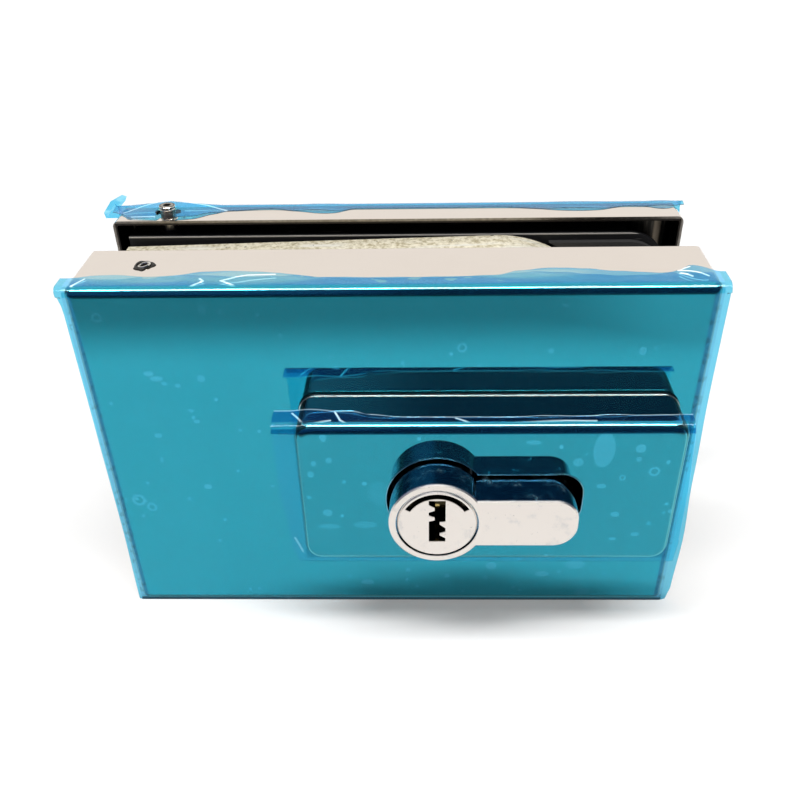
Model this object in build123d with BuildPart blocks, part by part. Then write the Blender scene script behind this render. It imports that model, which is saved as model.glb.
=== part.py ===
"""Lock for the edge of a frameless glass door: two sheet steel covers clamp a cast body in a
notch of the glass, and a half euro profile cylinder throws a flat bolt out of the left end.

Millimetres, +Z up. X runs along the covers, the bolt leaves towards -X, and the key enters
from the front, -Y. The origin is the bottom centre of the whole lock, with the bolt drawn in.
"""

from build123d import *

import os
from math import cos, radians, sin

# Driving sizes of the covers
cover_length = 110.0
cover_height = 70.0
front_cover_depth = 16.8
rear_cover_depth = 8.9
glass_gap = 14.8
cover_sheet = 0.8
cover_corner_radius = 1.2
cover_bend_radius = 1.6

# Raised housing round the cylinder
housing_length = 68.0
housing_height = 30.0
housing_depth = 10.8
housing_margin = 4.0
housing_corner_radius = 3.2
housing_bend_radius = 1.8
housing_seat_gap = 0.2
housing_cutout_clearance = 0.6
housing_cutout_end_play = 0.9

# Half euro profile cylinder
cylinder_radius = 8.5
cylinder_profile_height = 33.0
tail_width = 10.0
tail_end_radius = 4.2
cylinder_front_length = 40.0
cylinder_rear_length = 10.0
cylinder_offset = 9.2
cylinder_axis_z = 34.3
cam_slot_width = 10.0

# Plug, cam and pins of the cylinder
cylinder_rim_chamfer = 0.3
plug_radius = 6.5
plug_rim_chamfer = 0.35
plug_flange_radius = 7.1
plug_flange_depth = 1.2
plug_clearance = 0.04
plug_flange_clearance = 0.15
plug_shoulder = 1.4
journal_radius = 4.5
journal_flat = 3.6
journal_engagement = 2.8
keyway_width = 2.9
keyway_height = 8.9
keyway_rise = 0.6
keyway_depth = 28.0
left_tooth_shares = (0.10, 0.17, 0.235, 0.28, 0.36, 0.40, 0.47, 0.50)
right_tooth_shares = (0.50, 0.515, 0.575, 0.665, 0.755, 0.79, 0.845, 0.915)
tooth_reach_share = 0.35
crescent_outer_radius = 6.4
crescent_inner_radius = 5.4
crescent_half_angle = 60.0
crescent_depth = 0.9
pin_count = 5
pin_pitch = 4.4
first_pin_depth = 6.0
pin_radius = 1.4
pin_bore_clearance = 0.05
pin_row_rise = 0.6
key_pin_reach = 0.3
shear_gap = 0.08
driver_pin_length = 5.0
bore_plug_length = 2.2
bore_plug_sink = 0.3
spring_wall = 0.35
cam_hub_radius = 8.2
cam_tip_reach = 15.0
cam_tip_radius = 1.6
cam_root_half_width = 2.2
cam_half_sweep = 35.0
clip_thickness = 0.7
clip_outer_radius = 7.9
clip_groove_depth = 0.8
clip_mouth = 8.0
clip_clearance = 0.05
cam_side_clearance = 0.1
tail_screw_distance = 20.3

# Glass, gaskets and the plates that clamp them
gasket_thickness = 1.4
plate_thickness = 2.0
rear_plate_thickness = 1.5
front_plate_margin = 4.4
rear_plate_margin = 3.1
plate_end_gap = 2.0
plate_corner_radius = 8.0
front_plate_flange_clearance = 4.0
rear_plate_flange_clearance = 1.2
profile_hole_clearance = 0.3
notch_clearance = 0.4

# Cast body in the notch of the glass
body_thickness = 13.4
body_bottom = 3.0
body_top = 67.2
body_top_fall = 1.7
gasket_land = 9.5
body_corner_radius = 24.0
pocket_floor = 2.8

# Bolt and its guidance
bolt_face_inset = 0.5
bolt_head_setback = 20.0
bolt_head_height = 16.0
bolt_head_chamfer = 0.8
bolt_head_axis_z = 35.0
bolt_thickness = 10.2
bolt_arm_height = 13.0
bolt_neck_length = 5.5
bolt_arm_clearance = 1.2
bolt_arm_reach = 16.2
bolt_side_play = 0.2
bolt_floor_play = 0.1
notch_half_width = 3.6
notch_top_clearance = 0.6
guide_pin_radius = 2.0
guide_pin_setback = 20.4
guide_slot_play = 0.15
guide_pin_seat = 2.0
pocket_end_play = 0.4
cam_sweep_clearance = 0.6

# Friction spring above the bolt
spring_recess_setback = 27.8
spring_recess_length = 28.0
spring_recess_depth = 3.8
leaf_thickness = 0.4
leaf_width = 8.0
leaf_crest_length = 6.0
leaf_end_gap = 0.8

# End plate on the edge of the door
forend_thickness = 1.8
forend_wall_gap = 0.1
forend_height = 54.0
forend_front_lap = 4.8
forend_rear_lap = 4.0
forend_corner_radius = 1.5
forend_bolt_play = 0.2

# Screws
m3_radius = 1.5
m3_head_radius = 2.7
m3_head_height = 1.7
m5_radius = 2.5
m5_head_radius = 4.4
m5_head_height = 2.8
thread_clearance = 0.05
screw_clearance = 0.25
socket_share = 0.45
set_screw_socket_share = 0.55
socket_depth = 1.3

# Set screws that hold the covers on the plates
front_set_screw_inset = 11.6
rear_set_screw_inset = 10.0
front_set_screw_y = 10.2
rear_set_screw_y = 4.4
front_set_screw_length = 4.0
rear_set_screw_length = 6.2
rear_set_screw_proud = 1.6
rear_set_screw_sunk = 0.4
set_screw_tip_radius = 0.9
set_screw_tip_length = 0.8

# Places of the clamp, body, guard and housing screws
clamp_inset_left = 5.3
clamp_inset_top = 6.6
clamp_inset_bottom = 9.0
clamp_right_top_inset = 10.5
clamp_right_top_drop = 13.2
clamp_right_bottom_inset = 25.5
body_screw_tail_gap = 5.5
body_screw_rise = 4.0
body_screw_setback = 27.8
body_screw_length = 6.0
forend_screw_gap = 6.0
forend_screw_length = 8.0
cylinder_screw_head_depth = 6.0
cylinder_screw_tip_margin = 0.8
stud_radius = 2.3
stud_inset = 6.0
housing_screw_length = 7.0

# Guard block behind the front cover
guard_wall = 3.4
guard_bore_clearance = 0.2
guard_front_gap = 0.2
guard_flange_thickness = 2.5
guard_flange_margin = 5.0
guard_flange_corner = 2.0
guard_screw_inset = 3.4

# Protective films
film_thickness = 0.1
film_side_margin = 1.2
front_film_wrap = 4.7
housing_film_wrap = 4.6
rear_film_wrap = 2.9
housing_film_left = 4.0
housing_film_right = 1.0
film_trap = 2.0

# Small allowance by which a cut runs past the metal
overrun = 1.0

# Depths along Y, from the face of the plug back to the film on the rear cover
bolt_centre_depth = bolt_floor_play + bolt_thickness / 2
pocket_depth = body_thickness - pocket_floor
cam_centre_from_gap = pocket_depth - bolt_centre_depth
cylinder_proud = cylinder_front_length - cam_centre_from_gap - front_cover_depth - housing_depth
overall_depth = (
    cylinder_proud
    + housing_depth
    + front_cover_depth
    + glass_gap
    + rear_cover_depth
    + film_thickness
)
cylinder_face_y = -overall_depth / 2
housing_face_y = cylinder_face_y + cylinder_proud
front_face_y = housing_face_y + housing_depth
gap_front_y = front_face_y + front_cover_depth
gap_rear_y = gap_front_y + glass_gap
rear_face_y = gap_rear_y + rear_cover_depth
pocket_floor_y = gap_front_y + pocket_depth
cam_centre_y = cylinder_face_y + cylinder_front_length
slot_front_y = cam_centre_y - cam_slot_width / 2
slot_rear_y = cam_centre_y + cam_slot_width / 2

# Places in the face plane, X and Z
cover_left = -cover_length / 2
cover_right = cover_length / 2
forend_left = cover_left + cover_sheet + forend_wall_gap
body_left = forend_left + forend_thickness
plate_right = cover_right - plate_end_gap
body_right = plate_right - gasket_land
housing_centre_x = cover_right - housing_margin - housing_length / 2
housing_left = housing_centre_x - housing_length / 2
cylinder_axis_x = housing_centre_x - cylinder_offset
tail_end_x = cylinder_axis_x + cylinder_profile_height - cylinder_radius
bolt_face_x = cover_left + bolt_face_inset
bolt_head_end_x = cylinder_axis_x - bolt_head_setback
bolt_head_bottom = bolt_head_axis_z - bolt_head_height / 2
bolt_head_top = bolt_head_axis_z + bolt_head_height / 2
arm_bottom = cylinder_axis_z + cylinder_radius + bolt_arm_clearance
arm_top = arm_bottom + bolt_arm_height
arm_start_x = bolt_head_end_x - bolt_neck_length
arm_end_x = cylinder_axis_x + bolt_arm_reach
spring_recess_start = cylinder_axis_x - spring_recess_setback
cam_tip_centre = cam_tip_reach - cam_tip_radius
bolt_throw = 2 * cam_tip_centre * sin(radians(cam_half_sweep))
notch_x = cylinder_axis_x + cam_tip_centre * sin(radians(cam_half_sweep))
tail_screw_x = cylinder_axis_x + tail_screw_distance
guide_pin_place = (cylinder_axis_x - guide_pin_setback, (arm_bottom + arm_top) / 2)
cam_sweep_radius = cam_tip_reach + cam_sweep_clearance
clamp_screw_places = [
    (body_left + clamp_inset_left, body_top - clamp_inset_top),
    (body_left + clamp_inset_left, body_bottom + clamp_inset_bottom),
    (body_right - clamp_right_top_inset, body_top - clamp_right_top_drop),
    (body_right - clamp_right_bottom_inset, body_bottom + clamp_inset_bottom),
]
body_screw_places = [
    (tail_screw_x - body_screw_tail_gap, body_bottom + clamp_inset_bottom + body_screw_rise),
    (cylinder_axis_x - body_screw_setback, body_bottom + clamp_inset_bottom),
]


def facing_front(y):
    """Plane across the lock at depth y, its normal towards the person with the key."""
    return Plane.XZ.offset(-y)


def facing_rear(y):
    """Plane across the lock at depth y, its normal towards the far side; its X runs to -X."""
    return Plane(origin=(0, y, 0), x_dir=(-1, 0, 0), z_dir=(0, 1, 0))


def from_rear(places):
    """Places given in X and Z, as a plane that faces the rear sees them."""
    return [(-x, z) for x, z in places]


def rounded_block(plane, centre_x, length, height, depth, corner, bend):
    """Block behind the plane, its upright corners and the edges of its face rounded.

    The larger radius goes first, because the smaller one can then run along its edges.
    """
    outward = Axis(plane.origin, plane.z_dir)
    with BuildPart() as solid:
        with BuildSketch(plane):
            with Locations((centre_x, cover_height / 2)):
                Rectangle(length, height)
        extrude(amount=-depth)
        if corner > bend:
            fillet(solid.edges().filter_by(outward), radius=corner)
        fillet(solid.faces().sort_by(outward)[-1].edges(), radius=bend)
        if corner <= bend:
            fillet(solid.edges().filter_by(outward), radius=corner)
    return solid.part


def pan(plane, centre_x, length, height, depth, corner, bend):
    """Sheet pan with its face on the plane and its mouth behind it."""
    with BuildPart() as shell:
        add(rounded_block(plane, centre_x, length, height, depth, corner, bend))
        add(
            rounded_block(
                plane.offset(-cover_sheet),
                centre_x,
                length - 2 * cover_sheet,
                height - 2 * cover_sheet,
                depth,
                corner - cover_sheet,
                bend - cover_sheet,
            ),
            mode=Mode.SUBTRACT,
        )
    return shell.part


def cylinder_profile(y, clearance, end_play=0):
    """Outline of the euro profile at depth y, grown all round by a clearance and at its tail end."""
    reach = tail_end_x + clearance + end_play - cylinder_axis_x
    with BuildSketch(facing_front(y)) as outline:
        with Locations((cylinder_axis_x + reach / 2, cylinder_axis_z)):
            Rectangle(reach, tail_width + 2 * clearance)
        fillet(outline.vertices().group_by(Axis.X)[-1], radius=tail_end_radius)
        with Locations((cylinder_axis_x, cylinder_axis_z)):
            Circle(cylinder_radius + clearance)
    return outline.sketch


def body_outline(y, clearance):
    """Outline of the casting at depth y, its top falling a little towards the door's edge."""
    right = body_right + clearance
    bottom = body_bottom - clearance
    top = body_top + clearance
    with BuildSketch(facing_front(y)) as outline:
        with BuildLine():
            Polyline(
                (body_left, bottom),
                (right, bottom),
                (right, top),
                (body_right - body_corner_radius, top),
                (body_left, top - body_top_fall),
                close=True,
            )
        make_face()
        fillet(outline.vertices().group_by(Axis.X)[-1], radius=body_corner_radius)
    return outline.sketch


def plate_outline(y, margin):
    """Outline of a clamp plate at depth y: square at the door's edge, rounded on the glass."""
    with BuildSketch(facing_front(y)) as outline:
        with Locations(((body_left + plate_right) / 2, cover_height / 2)):
            Rectangle(plate_right - body_left, cover_height - 2 * margin)
        fillet(outline.vertices().group_by(Axis.X)[-1], radius=plate_corner_radius)
    return outline.sketch


def block(low_x, high_x, low_y, high_y, low_z, high_z):
    """Plain block between two corners."""
    with BuildPart() as solid:
        with BuildSketch(Plane.XY.offset(low_z)):
            with Locations(((low_x + high_x) / 2, (low_y + high_y) / 2)):
                Rectangle(high_x - low_x, high_y - low_y)
        extrude(amount=high_z - low_z)
    return solid.part


def round_bars(plane, places, radius, length):
    """Round bars that start on the plane and run back from it."""
    with BuildPart() as bars:
        with BuildSketch(plane):
            with Locations(*places):
                Circle(radius)
        extrude(amount=-length)
    return bars.part


def pan_head_screws(plane, places, radius, length, head_radius, head_height):
    """Screws with round heads standing on the plane and shanks running back from it."""
    with BuildPart() as screws:
        add(round_bars(plane, places, radius, length))
        add(round_bars(plane.offset(head_height), places, head_radius, head_height))
        with BuildSketch(plane.offset(head_height)):
            with Locations(*places):
                RegularPolygon(head_radius * socket_share, 6)
        extrude(amount=-socket_depth, mode=Mode.SUBTRACT)
    return screws.part


def countersunk_bars(plane, places, radius, length):
    """Bars with a cone at the plane: the space that flush M3 screws take."""
    head_depth = m3_head_radius - m3_radius
    with BuildPart(plane) as bars:
        with Locations(*[(x, z, -length / 2) for x, z in places]):
            Cylinder(radius, length)
        with Locations(*[(x, z, -head_depth / 2) for x, z in places]):
            Cone(m3_radius, m3_head_radius, head_depth)
    return bars.part


def flush_screws(plane, places, length):
    """Countersunk M3 screws whose heads end at the plane."""
    with BuildPart() as screws:
        add(countersunk_bars(plane, places, m3_radius, length))
        with BuildSketch(plane):
            with Locations(*places):
                RegularPolygon(m3_radius * set_screw_socket_share, 6)
        extrude(amount=-socket_depth, mode=Mode.SUBTRACT)
    return screws.part


def set_screw(plane, place, length):
    """Headless M3 screw that starts at the plane with its socket and ends in a dog point."""
    with BuildPart() as screw:
        add(round_bars(plane, [place], m3_radius, length - set_screw_tip_length))
        add(round_bars(plane, [place], set_screw_tip_radius, length))
        with BuildSketch(plane):
            with Locations(place):
                RegularPolygon(m3_radius * set_screw_socket_share, 6)
        extrude(amount=-socket_depth, mode=Mode.SUBTRACT)
    return screw.part


def film_section(near, bottom, far, top, radius):
    """Rectangle in film coordinates with its upper near corner rounded."""
    with BuildSketch() as shape:
        with Locations(((near + far) / 2, (bottom + top) / 2)):
            Rectangle(far - near, top - bottom)
        fillet(shape.vertices().group_by(Axis.X)[0].sort_by(Axis.Y)[-1], radius=radius)
    return shape.sketch


def wrapped_film(plane, bottom, top, wrap, bend, width):
    """Film on a face that bends over its top edge and laps onto the side behind.

    The plane stands square to X at one end of the film; its own X points into the lock.
    """
    with BuildPart() as film:
        with BuildSketch(plane):
            add(
                film_section(
                    -film_thickness,
                    bottom,
                    wrap,
                    top + film_thickness,
                    bend + film_thickness,
                )
            )
            add(film_section(0, bottom, wrap, top, bend), mode=Mode.SUBTRACT)
        extrude(amount=width)
    return film.part


def lever_plane(y):
    """Plane at depth y on the cylinder's axis, its own Y along the cam's lever at rest."""
    lean = radians(cam_half_sweep)
    return Plane(
        origin=(cylinder_axis_x, y, cylinder_axis_z),
        x_dir=(cos(lean), 0, -sin(lean)),
        z_dir=(0, -1, 0),
    )


def pin_row(radius, start, end):
    """One round bar along X in each pin chamber, between two reaches from the plug's axis."""
    with BuildPart() as bars:
        for index in range(pin_count):
            y = cylinder_face_y + first_pin_depth + index * pin_pitch
            base = Plane(
                origin=(cylinder_axis_x + start, y, cylinder_axis_z + pin_row_rise),
                z_dir=(1, 0, 0),
            )
            with BuildSketch(base):
                Circle(radius)
            extrude(amount=end - start)
    return bars.part


# Front cover: a pan with holes for the cylinder, the housing screws and two set screws
housing_stud_places = [
    (housing_centre_x + side * (housing_length / 2 - stud_inset), cover_height / 2 + level)
    for side in (-1, 1)
    for level in (-(housing_height / 2 - stud_inset), housing_height / 2 - stud_inset)
]
front_set_screw_place = (cover_left + front_set_screw_inset, front_face_y + front_set_screw_y)
with BuildPart() as front_cover:
    add(
        pan(
            facing_front(front_face_y),
            0,
            cover_length,
            cover_height,
            front_cover_depth,
            cover_corner_radius,
            cover_bend_radius,
        )
    )
    extrude(
        cylinder_profile(front_face_y - overrun, profile_hole_clearance),
        amount=-(cover_sheet + 2 * overrun),
        mode=Mode.SUBTRACT,
    )
    add(
        round_bars(
            facing_front(front_face_y - overrun),
            housing_stud_places,
            m3_radius + screw_clearance,
            cover_sheet + 2 * overrun,
        ),
        mode=Mode.SUBTRACT,
    )
    add(
        round_bars(
            Plane.XY.offset(cover_height + overrun),
            [front_set_screw_place],
            m3_radius + thread_clearance,
            cover_height + 2 * overrun,
        ),
        mode=Mode.SUBTRACT,
    )
front_cover.part.label = "front_cover"

# Raised housing round the cylinder, a smaller pan with the profile cut out of its face
with BuildPart() as cylinder_housing:
    add(
        pan(
            facing_front(housing_face_y),
            housing_centre_x,
            housing_length,
            housing_height,
            housing_depth - housing_seat_gap,
            housing_corner_radius,
            housing_bend_radius,
        )
    )
    extrude(
        cylinder_profile(
            housing_face_y - overrun,
            housing_cutout_clearance,
            housing_cutout_end_play,
        ),
        amount=-(cover_sheet + 2 * overrun),
        mode=Mode.SUBTRACT,
    )
cylinder_housing.part.label = "cylinder_housing"

# Four studs inside the housing, which stand on the front cover and take its screws
with BuildPart() as housing_studs:
    add(
        round_bars(
            facing_front(housing_face_y + cover_sheet),
            housing_stud_places,
            stud_radius,
            housing_depth - cover_sheet,
        )
    )
    add(
        round_bars(
            facing_rear(front_face_y + overrun),
            from_rear(housing_stud_places),
            m3_radius + thread_clearance,
            housing_screw_length + overrun,
        ),
        mode=Mode.SUBTRACT,
    )
housing_studs.part.label = "housing_studs"

# Screws that hold the studs from inside the front cover
with BuildPart() as housing_screws:
    add(
        pan_head_screws(
            facing_rear(front_face_y + cover_sheet),
            from_rear(housing_stud_places),
            m3_radius,
            housing_screw_length,
            m3_head_radius,
            m3_head_height,
        )
    )
housing_screws.part.label = "housing_screws"

# Rear cover: the same pan, shallower and plain
rear_set_screw_place = (cover_left + rear_set_screw_inset, gap_rear_y + rear_set_screw_y)
with BuildPart() as rear_cover:
    add(
        pan(
            facing_rear(rear_face_y),
            0,
            cover_length,
            cover_height,
            rear_cover_depth,
            cover_corner_radius,
            cover_bend_radius,
        )
    )
    add(
        round_bars(
            Plane.XY.offset(cover_height + overrun),
            [rear_set_screw_place],
            m3_radius + thread_clearance,
            cover_height + 2 * overrun,
        ),
        mode=Mode.SUBTRACT,
    )
rear_cover.part.label = "rear_cover"

# Film on the front cover, open under the housing, whose rim traps it
with BuildPart() as front_cover_film:
    add(
        wrapped_film(
            Plane(
                origin=(cover_left - film_side_margin, front_face_y, 0),
                x_dir=(0, 1, 0),
                z_dir=(1, 0, 0),
            ),
            0,
            cover_height,
            front_film_wrap,
            cover_bend_radius,
            cover_length + 2 * film_side_margin,
        )
    )
    with BuildSketch(facing_front(front_face_y - overrun)):
        with Locations((housing_centre_x, cover_height / 2)):
            RectangleRounded(
                housing_length - 2 * film_trap,
                housing_height - 2 * film_trap,
                housing_corner_radius,
            )
    extrude(amount=-2 * overrun, mode=Mode.SUBTRACT)
front_cover_film.part.label = "front_cover_film"

# Film on the housing, cut out with it and standing past it on the left
with BuildPart() as housing_film:
    add(
        wrapped_film(
            Plane(
                origin=(housing_left - housing_film_left, housing_face_y, 0),
                x_dir=(0, 1, 0),
                z_dir=(1, 0, 0),
            ),
            cover_height / 2 - housing_height / 2,
            cover_height / 2 + housing_height / 2,
            housing_film_wrap,
            housing_bend_radius,
            housing_length + housing_film_left + housing_film_right,
        )
    )
    extrude(
        cylinder_profile(
            housing_face_y - overrun,
            housing_cutout_clearance,
            housing_cutout_end_play,
        ),
        amount=-2 * overrun,
        mode=Mode.SUBTRACT,
    )
housing_film.part.label = "housing_film"

# Film on the rear cover
with BuildPart() as rear_cover_film:
    add(
        wrapped_film(
            Plane(
                origin=(cover_right + film_side_margin, rear_face_y, 0),
                x_dir=(0, -1, 0),
                z_dir=(-1, 0, 0),
            ),
            0,
            cover_height,
            rear_film_wrap,
            cover_bend_radius,
            cover_length + 2 * film_side_margin,
        )
    )
rear_cover_film.part.label = "rear_cover_film"

# Guard block: a thick collar round the cylinder behind the front cover, on a flange
guard_front_y = front_face_y + cover_sheet + guard_front_gap
plate_front_y = gap_front_y - plate_thickness
guard_left = cylinder_axis_x - cylinder_radius - guard_wall - guard_flange_margin
guard_right = tail_end_x + guard_wall + guard_flange_margin
guard_half_height = cylinder_radius + guard_wall + guard_flange_margin
guard_screw_places = [
    (x, cylinder_axis_z + level)
    for x in (guard_left + guard_screw_inset, guard_right - guard_screw_inset)
    for level in (guard_screw_inset - guard_half_height, guard_half_height - guard_screw_inset)
]
with BuildPart() as cylinder_guard:
    extrude(
        cylinder_profile(guard_front_y, guard_wall),
        amount=-(plate_front_y - guard_front_y),
    )
    with BuildSketch(facing_front(plate_front_y)):
        with Locations(((guard_left + guard_right) / 2, cylinder_axis_z)):
            RectangleRounded(guard_right - guard_left, 2 * guard_half_height, guard_flange_corner)
    extrude(amount=guard_flange_thickness)
    extrude(
        cylinder_profile(guard_front_y - overrun, guard_bore_clearance),
        amount=-(plate_front_y - guard_front_y + 2 * overrun),
        mode=Mode.SUBTRACT,
    )
    add(
        round_bars(
            facing_front(plate_front_y - guard_flange_thickness - overrun),
            guard_screw_places,
            m3_radius + screw_clearance,
            guard_flange_thickness + 2 * overrun,
        ),
        mode=Mode.SUBTRACT,
    )
cylinder_guard.part.label = "cylinder_guard"

# Screws through the guard's flange into the front plate
with BuildPart() as guard_screws:
    add(
        pan_head_screws(
            facing_front(plate_front_y - guard_flange_thickness),
            guard_screw_places,
            m3_radius,
            guard_flange_thickness + plate_thickness,
            m3_head_radius,
            m3_head_height,
        )
    )
guard_screws.part.label = "guard_screws"

# Front plate: a channel inside the front cover, threaded for the clamp and guard screws
front_flange_y = front_face_y + cover_sheet + front_plate_flange_clearance
flange_end_x = plate_right - plate_corner_radius
with BuildPart() as front_plate:
    extrude(plate_outline(gap_front_y, front_plate_margin), amount=plate_thickness)
    for low_z in (front_plate_margin, cover_height - front_plate_margin - plate_thickness):
        add(
            block(
                body_left,
                flange_end_x,
                front_flange_y,
                gap_front_y,
                low_z,
                low_z + plate_thickness,
            )
        )
    extrude(
        cylinder_profile(plate_front_y - overrun, profile_hole_clearance),
        amount=-(plate_thickness + 2 * overrun),
        mode=Mode.SUBTRACT,
    )
    add(
        round_bars(
            facing_front(plate_front_y - overrun),
            clamp_screw_places,
            m5_radius + thread_clearance,
            plate_thickness + 2 * overrun,
        ),
        mode=Mode.SUBTRACT,
    )
    add(
        round_bars(
            facing_front(plate_front_y - overrun),
            guard_screw_places,
            m3_radius + thread_clearance,
            plate_thickness + 2 * overrun,
        ),
        mode=Mode.SUBTRACT,
    )
    add(
        countersunk_bars(
            facing_front(plate_front_y),
            body_screw_places,
            m3_radius + screw_clearance,
            plate_thickness + overrun,
        ),
        mode=Mode.SUBTRACT,
    )
front_plate.part.label = "front_plate"

# Flush screws that fix the casting to the front plate
with BuildPart() as body_screws:
    add(flush_screws(facing_front(plate_front_y), body_screw_places, body_screw_length))
body_screws.part.label = "body_screws"

# Rear plate: a shallow channel inside the rear cover, pulled up by the clamp screws
plate_rear_y = gap_rear_y + rear_plate_thickness
rear_flange_y = rear_face_y - cover_sheet - rear_plate_flange_clearance
with BuildPart() as rear_plate:
    extrude(plate_outline(gap_rear_y, rear_plate_margin), amount=-rear_plate_thickness)
    for low_z in (rear_plate_margin, cover_height - rear_plate_margin - rear_plate_thickness):
        add(
            block(
                body_left,
                flange_end_x,
                gap_rear_y,
                rear_flange_y,
                low_z,
                low_z + rear_plate_thickness,
            )
        )
    extrude(
        cylinder_profile(gap_rear_y - overrun, profile_hole_clearance),
        amount=-(rear_plate_thickness + 2 * overrun),
        mode=Mode.SUBTRACT,
    )
    add(
        round_bars(
            facing_front(gap_rear_y - overrun),
            clamp_screw_places,
            m5_radius + screw_clearance,
            rear_plate_thickness + 2 * overrun,
        ),
        mode=Mode.SUBTRACT,
    )
    add(
        round_bars(
            Plane.XY.offset(cover_height),
            [rear_set_screw_place],
            m3_radius + screw_clearance,
            cover_height,
        ),
        mode=Mode.SUBTRACT,
    )
rear_plate.part.label = "rear_plate"

# Rubber gaskets between the plates and the glass, round the inner end of the casting
with BuildPart() as front_gasket:
    extrude(plate_outline(gap_front_y, front_plate_margin), amount=-gasket_thickness)
    extrude(
        body_outline(gap_front_y - overrun, notch_clearance),
        amount=-(gasket_thickness + 2 * overrun),
        mode=Mode.SUBTRACT,
    )
front_gasket.part.label = "front_gasket"

with BuildPart() as rear_gasket:
    extrude(plate_outline(gap_rear_y, front_plate_margin), amount=gasket_thickness)
    extrude(
        body_outline(gap_rear_y - gasket_thickness - overrun, notch_clearance),
        amount=-(gasket_thickness + 2 * overrun),
        mode=Mode.SUBTRACT,
    )
rear_gasket.part.label = "rear_gasket"

# Clamp screws from the rear plate through the casting into the front plate
with BuildPart() as clamp_screws:
    add(
        pan_head_screws(
            facing_rear(plate_rear_y),
            from_rear(clamp_screw_places),
            m5_radius,
            plate_rear_y - plate_front_y,
            m5_head_radius,
            m5_head_height,
        )
    )
clamp_screws.part.label = "clamp_screws"

# Casting: pocket for the bolt and cam, profile hole, screw holes, all open to the front
bolt_rear_y = pocket_floor_y - bolt_floor_play
bolt_front_y = bolt_rear_y - bolt_thickness
recess_top = arm_top + spring_recess_depth
head_seat_z = cylinder_screw_head_depth + m5_head_height
forend_centre_y = gap_front_y + body_thickness / 2
forend_screw_level = body_bottom + clamp_inset_bottom + forend_screw_gap
forend_screw_places = [
    (forend_centre_y, level) for level in (forend_screw_level, cover_height - forend_screw_level)
]
door_edge = Plane(origin=(forend_left, 0, 0), x_dir=(0, -1, 0), z_dir=(-1, 0, 0))
with BuildPart() as lock_body:
    extrude(body_outline(gap_front_y, 0), amount=-body_thickness)
    add(
        block(
            body_left - overrun,
            bolt_head_end_x + pocket_end_play,
            gap_front_y - overrun,
            pocket_floor_y,
            bolt_head_bottom - bolt_side_play,
            bolt_head_top + bolt_side_play,
        ),
        mode=Mode.SUBTRACT,
    )
    add(
        block(
            arm_start_x - bolt_throw - pocket_end_play,
            arm_end_x + pocket_end_play,
            gap_front_y - overrun,
            pocket_floor_y,
            arm_bottom - bolt_side_play,
            arm_top + bolt_side_play,
        ),
        mode=Mode.SUBTRACT,
    )
    add(
        block(
            arm_start_x - bolt_throw - pocket_end_play,
            bolt_head_end_x + pocket_end_play,
            gap_front_y - overrun,
            pocket_floor_y,
            bolt_head_axis_z,
            arm_bottom,
        ),
        mode=Mode.SUBTRACT,
    )
    add(
        block(
            spring_recess_start,
            spring_recess_start + spring_recess_length,
            gap_front_y - overrun,
            pocket_floor_y,
            arm_top,
            recess_top,
        ),
        mode=Mode.SUBTRACT,
    )
    add(
        round_bars(
            facing_front(gap_front_y - overrun),
            [(cylinder_axis_x, cylinder_axis_z)],
            cam_sweep_radius,
            pocket_depth + overrun,
        ),
        mode=Mode.SUBTRACT,
    )
    extrude(
        cylinder_profile(gap_front_y - overrun, profile_hole_clearance),
        amount=-(body_thickness + 2 * overrun),
        mode=Mode.SUBTRACT,
    )
    add(
        round_bars(
            facing_front(gap_front_y - overrun),
            clamp_screw_places,
            m5_radius + screw_clearance,
            body_thickness + 2 * overrun,
        ),
        mode=Mode.SUBTRACT,
    )
    add(
        round_bars(
            facing_front(plate_front_y),
            body_screw_places,
            m3_radius + thread_clearance,
            body_screw_length + thread_clearance,
        ),
        mode=Mode.SUBTRACT,
    )
    add(
        round_bars(
            facing_front(pocket_floor_y - overrun),
            [guide_pin_place],
            guide_pin_radius,
            guide_pin_seat + overrun,
        ),
        mode=Mode.SUBTRACT,
    )
    add(
        round_bars(
            door_edge,
            [(-y, z) for y, z in forend_screw_places],
            m3_radius + thread_clearance,
            forend_screw_length + thread_clearance,
        ),
        mode=Mode.SUBTRACT,
    )
    add(
        round_bars(
            Plane.XY.offset(cylinder_axis_z),
            [(tail_screw_x, cam_centre_y)],
            m5_radius + screw_clearance,
            cylinder_axis_z,
        ),
        mode=Mode.SUBTRACT,
    )
    add(
        round_bars(
            Plane.XY.offset(head_seat_z),
            [(tail_screw_x, cam_centre_y)],
            m5_head_radius + screw_clearance,
            head_seat_z,
        ),
        mode=Mode.SUBTRACT,
    )
lock_body.part.label = "lock_body"

# End plate on the door's edge, with the hole that guides the bolt
with BuildPart() as forend_plate:
    with BuildSketch(door_edge):
        with Locations(
            (
                -(gap_front_y - forend_front_lap + gap_rear_y + forend_rear_lap) / 2,
                cover_height / 2,
            )
        ):
            RectangleRounded(
                gap_rear_y + forend_rear_lap - gap_front_y + forend_front_lap,
                forend_height,
                forend_corner_radius,
            )
        with Locations((-(bolt_front_y + bolt_rear_y) / 2, bolt_head_axis_z)):
            Rectangle(
                bolt_thickness + 2 * forend_bolt_play,
                bolt_head_height + 2 * forend_bolt_play,
                mode=Mode.SUBTRACT,
            )
    extrude(amount=-forend_thickness)
    add(
        countersunk_bars(
            door_edge,
            [(-y, z) for y, z in forend_screw_places],
            m3_radius + thread_clearance,
            forend_thickness + overrun,
        ),
        mode=Mode.SUBTRACT,
    )
forend_plate.part.label = "forend_plate"

with BuildPart() as forend_screws:
    add(
        flush_screws(
            door_edge,
            [(-y, z) for y, z in forend_screw_places],
            forend_screw_length,
        )
    )
forend_screws.part.label = "forend_screws"

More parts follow.
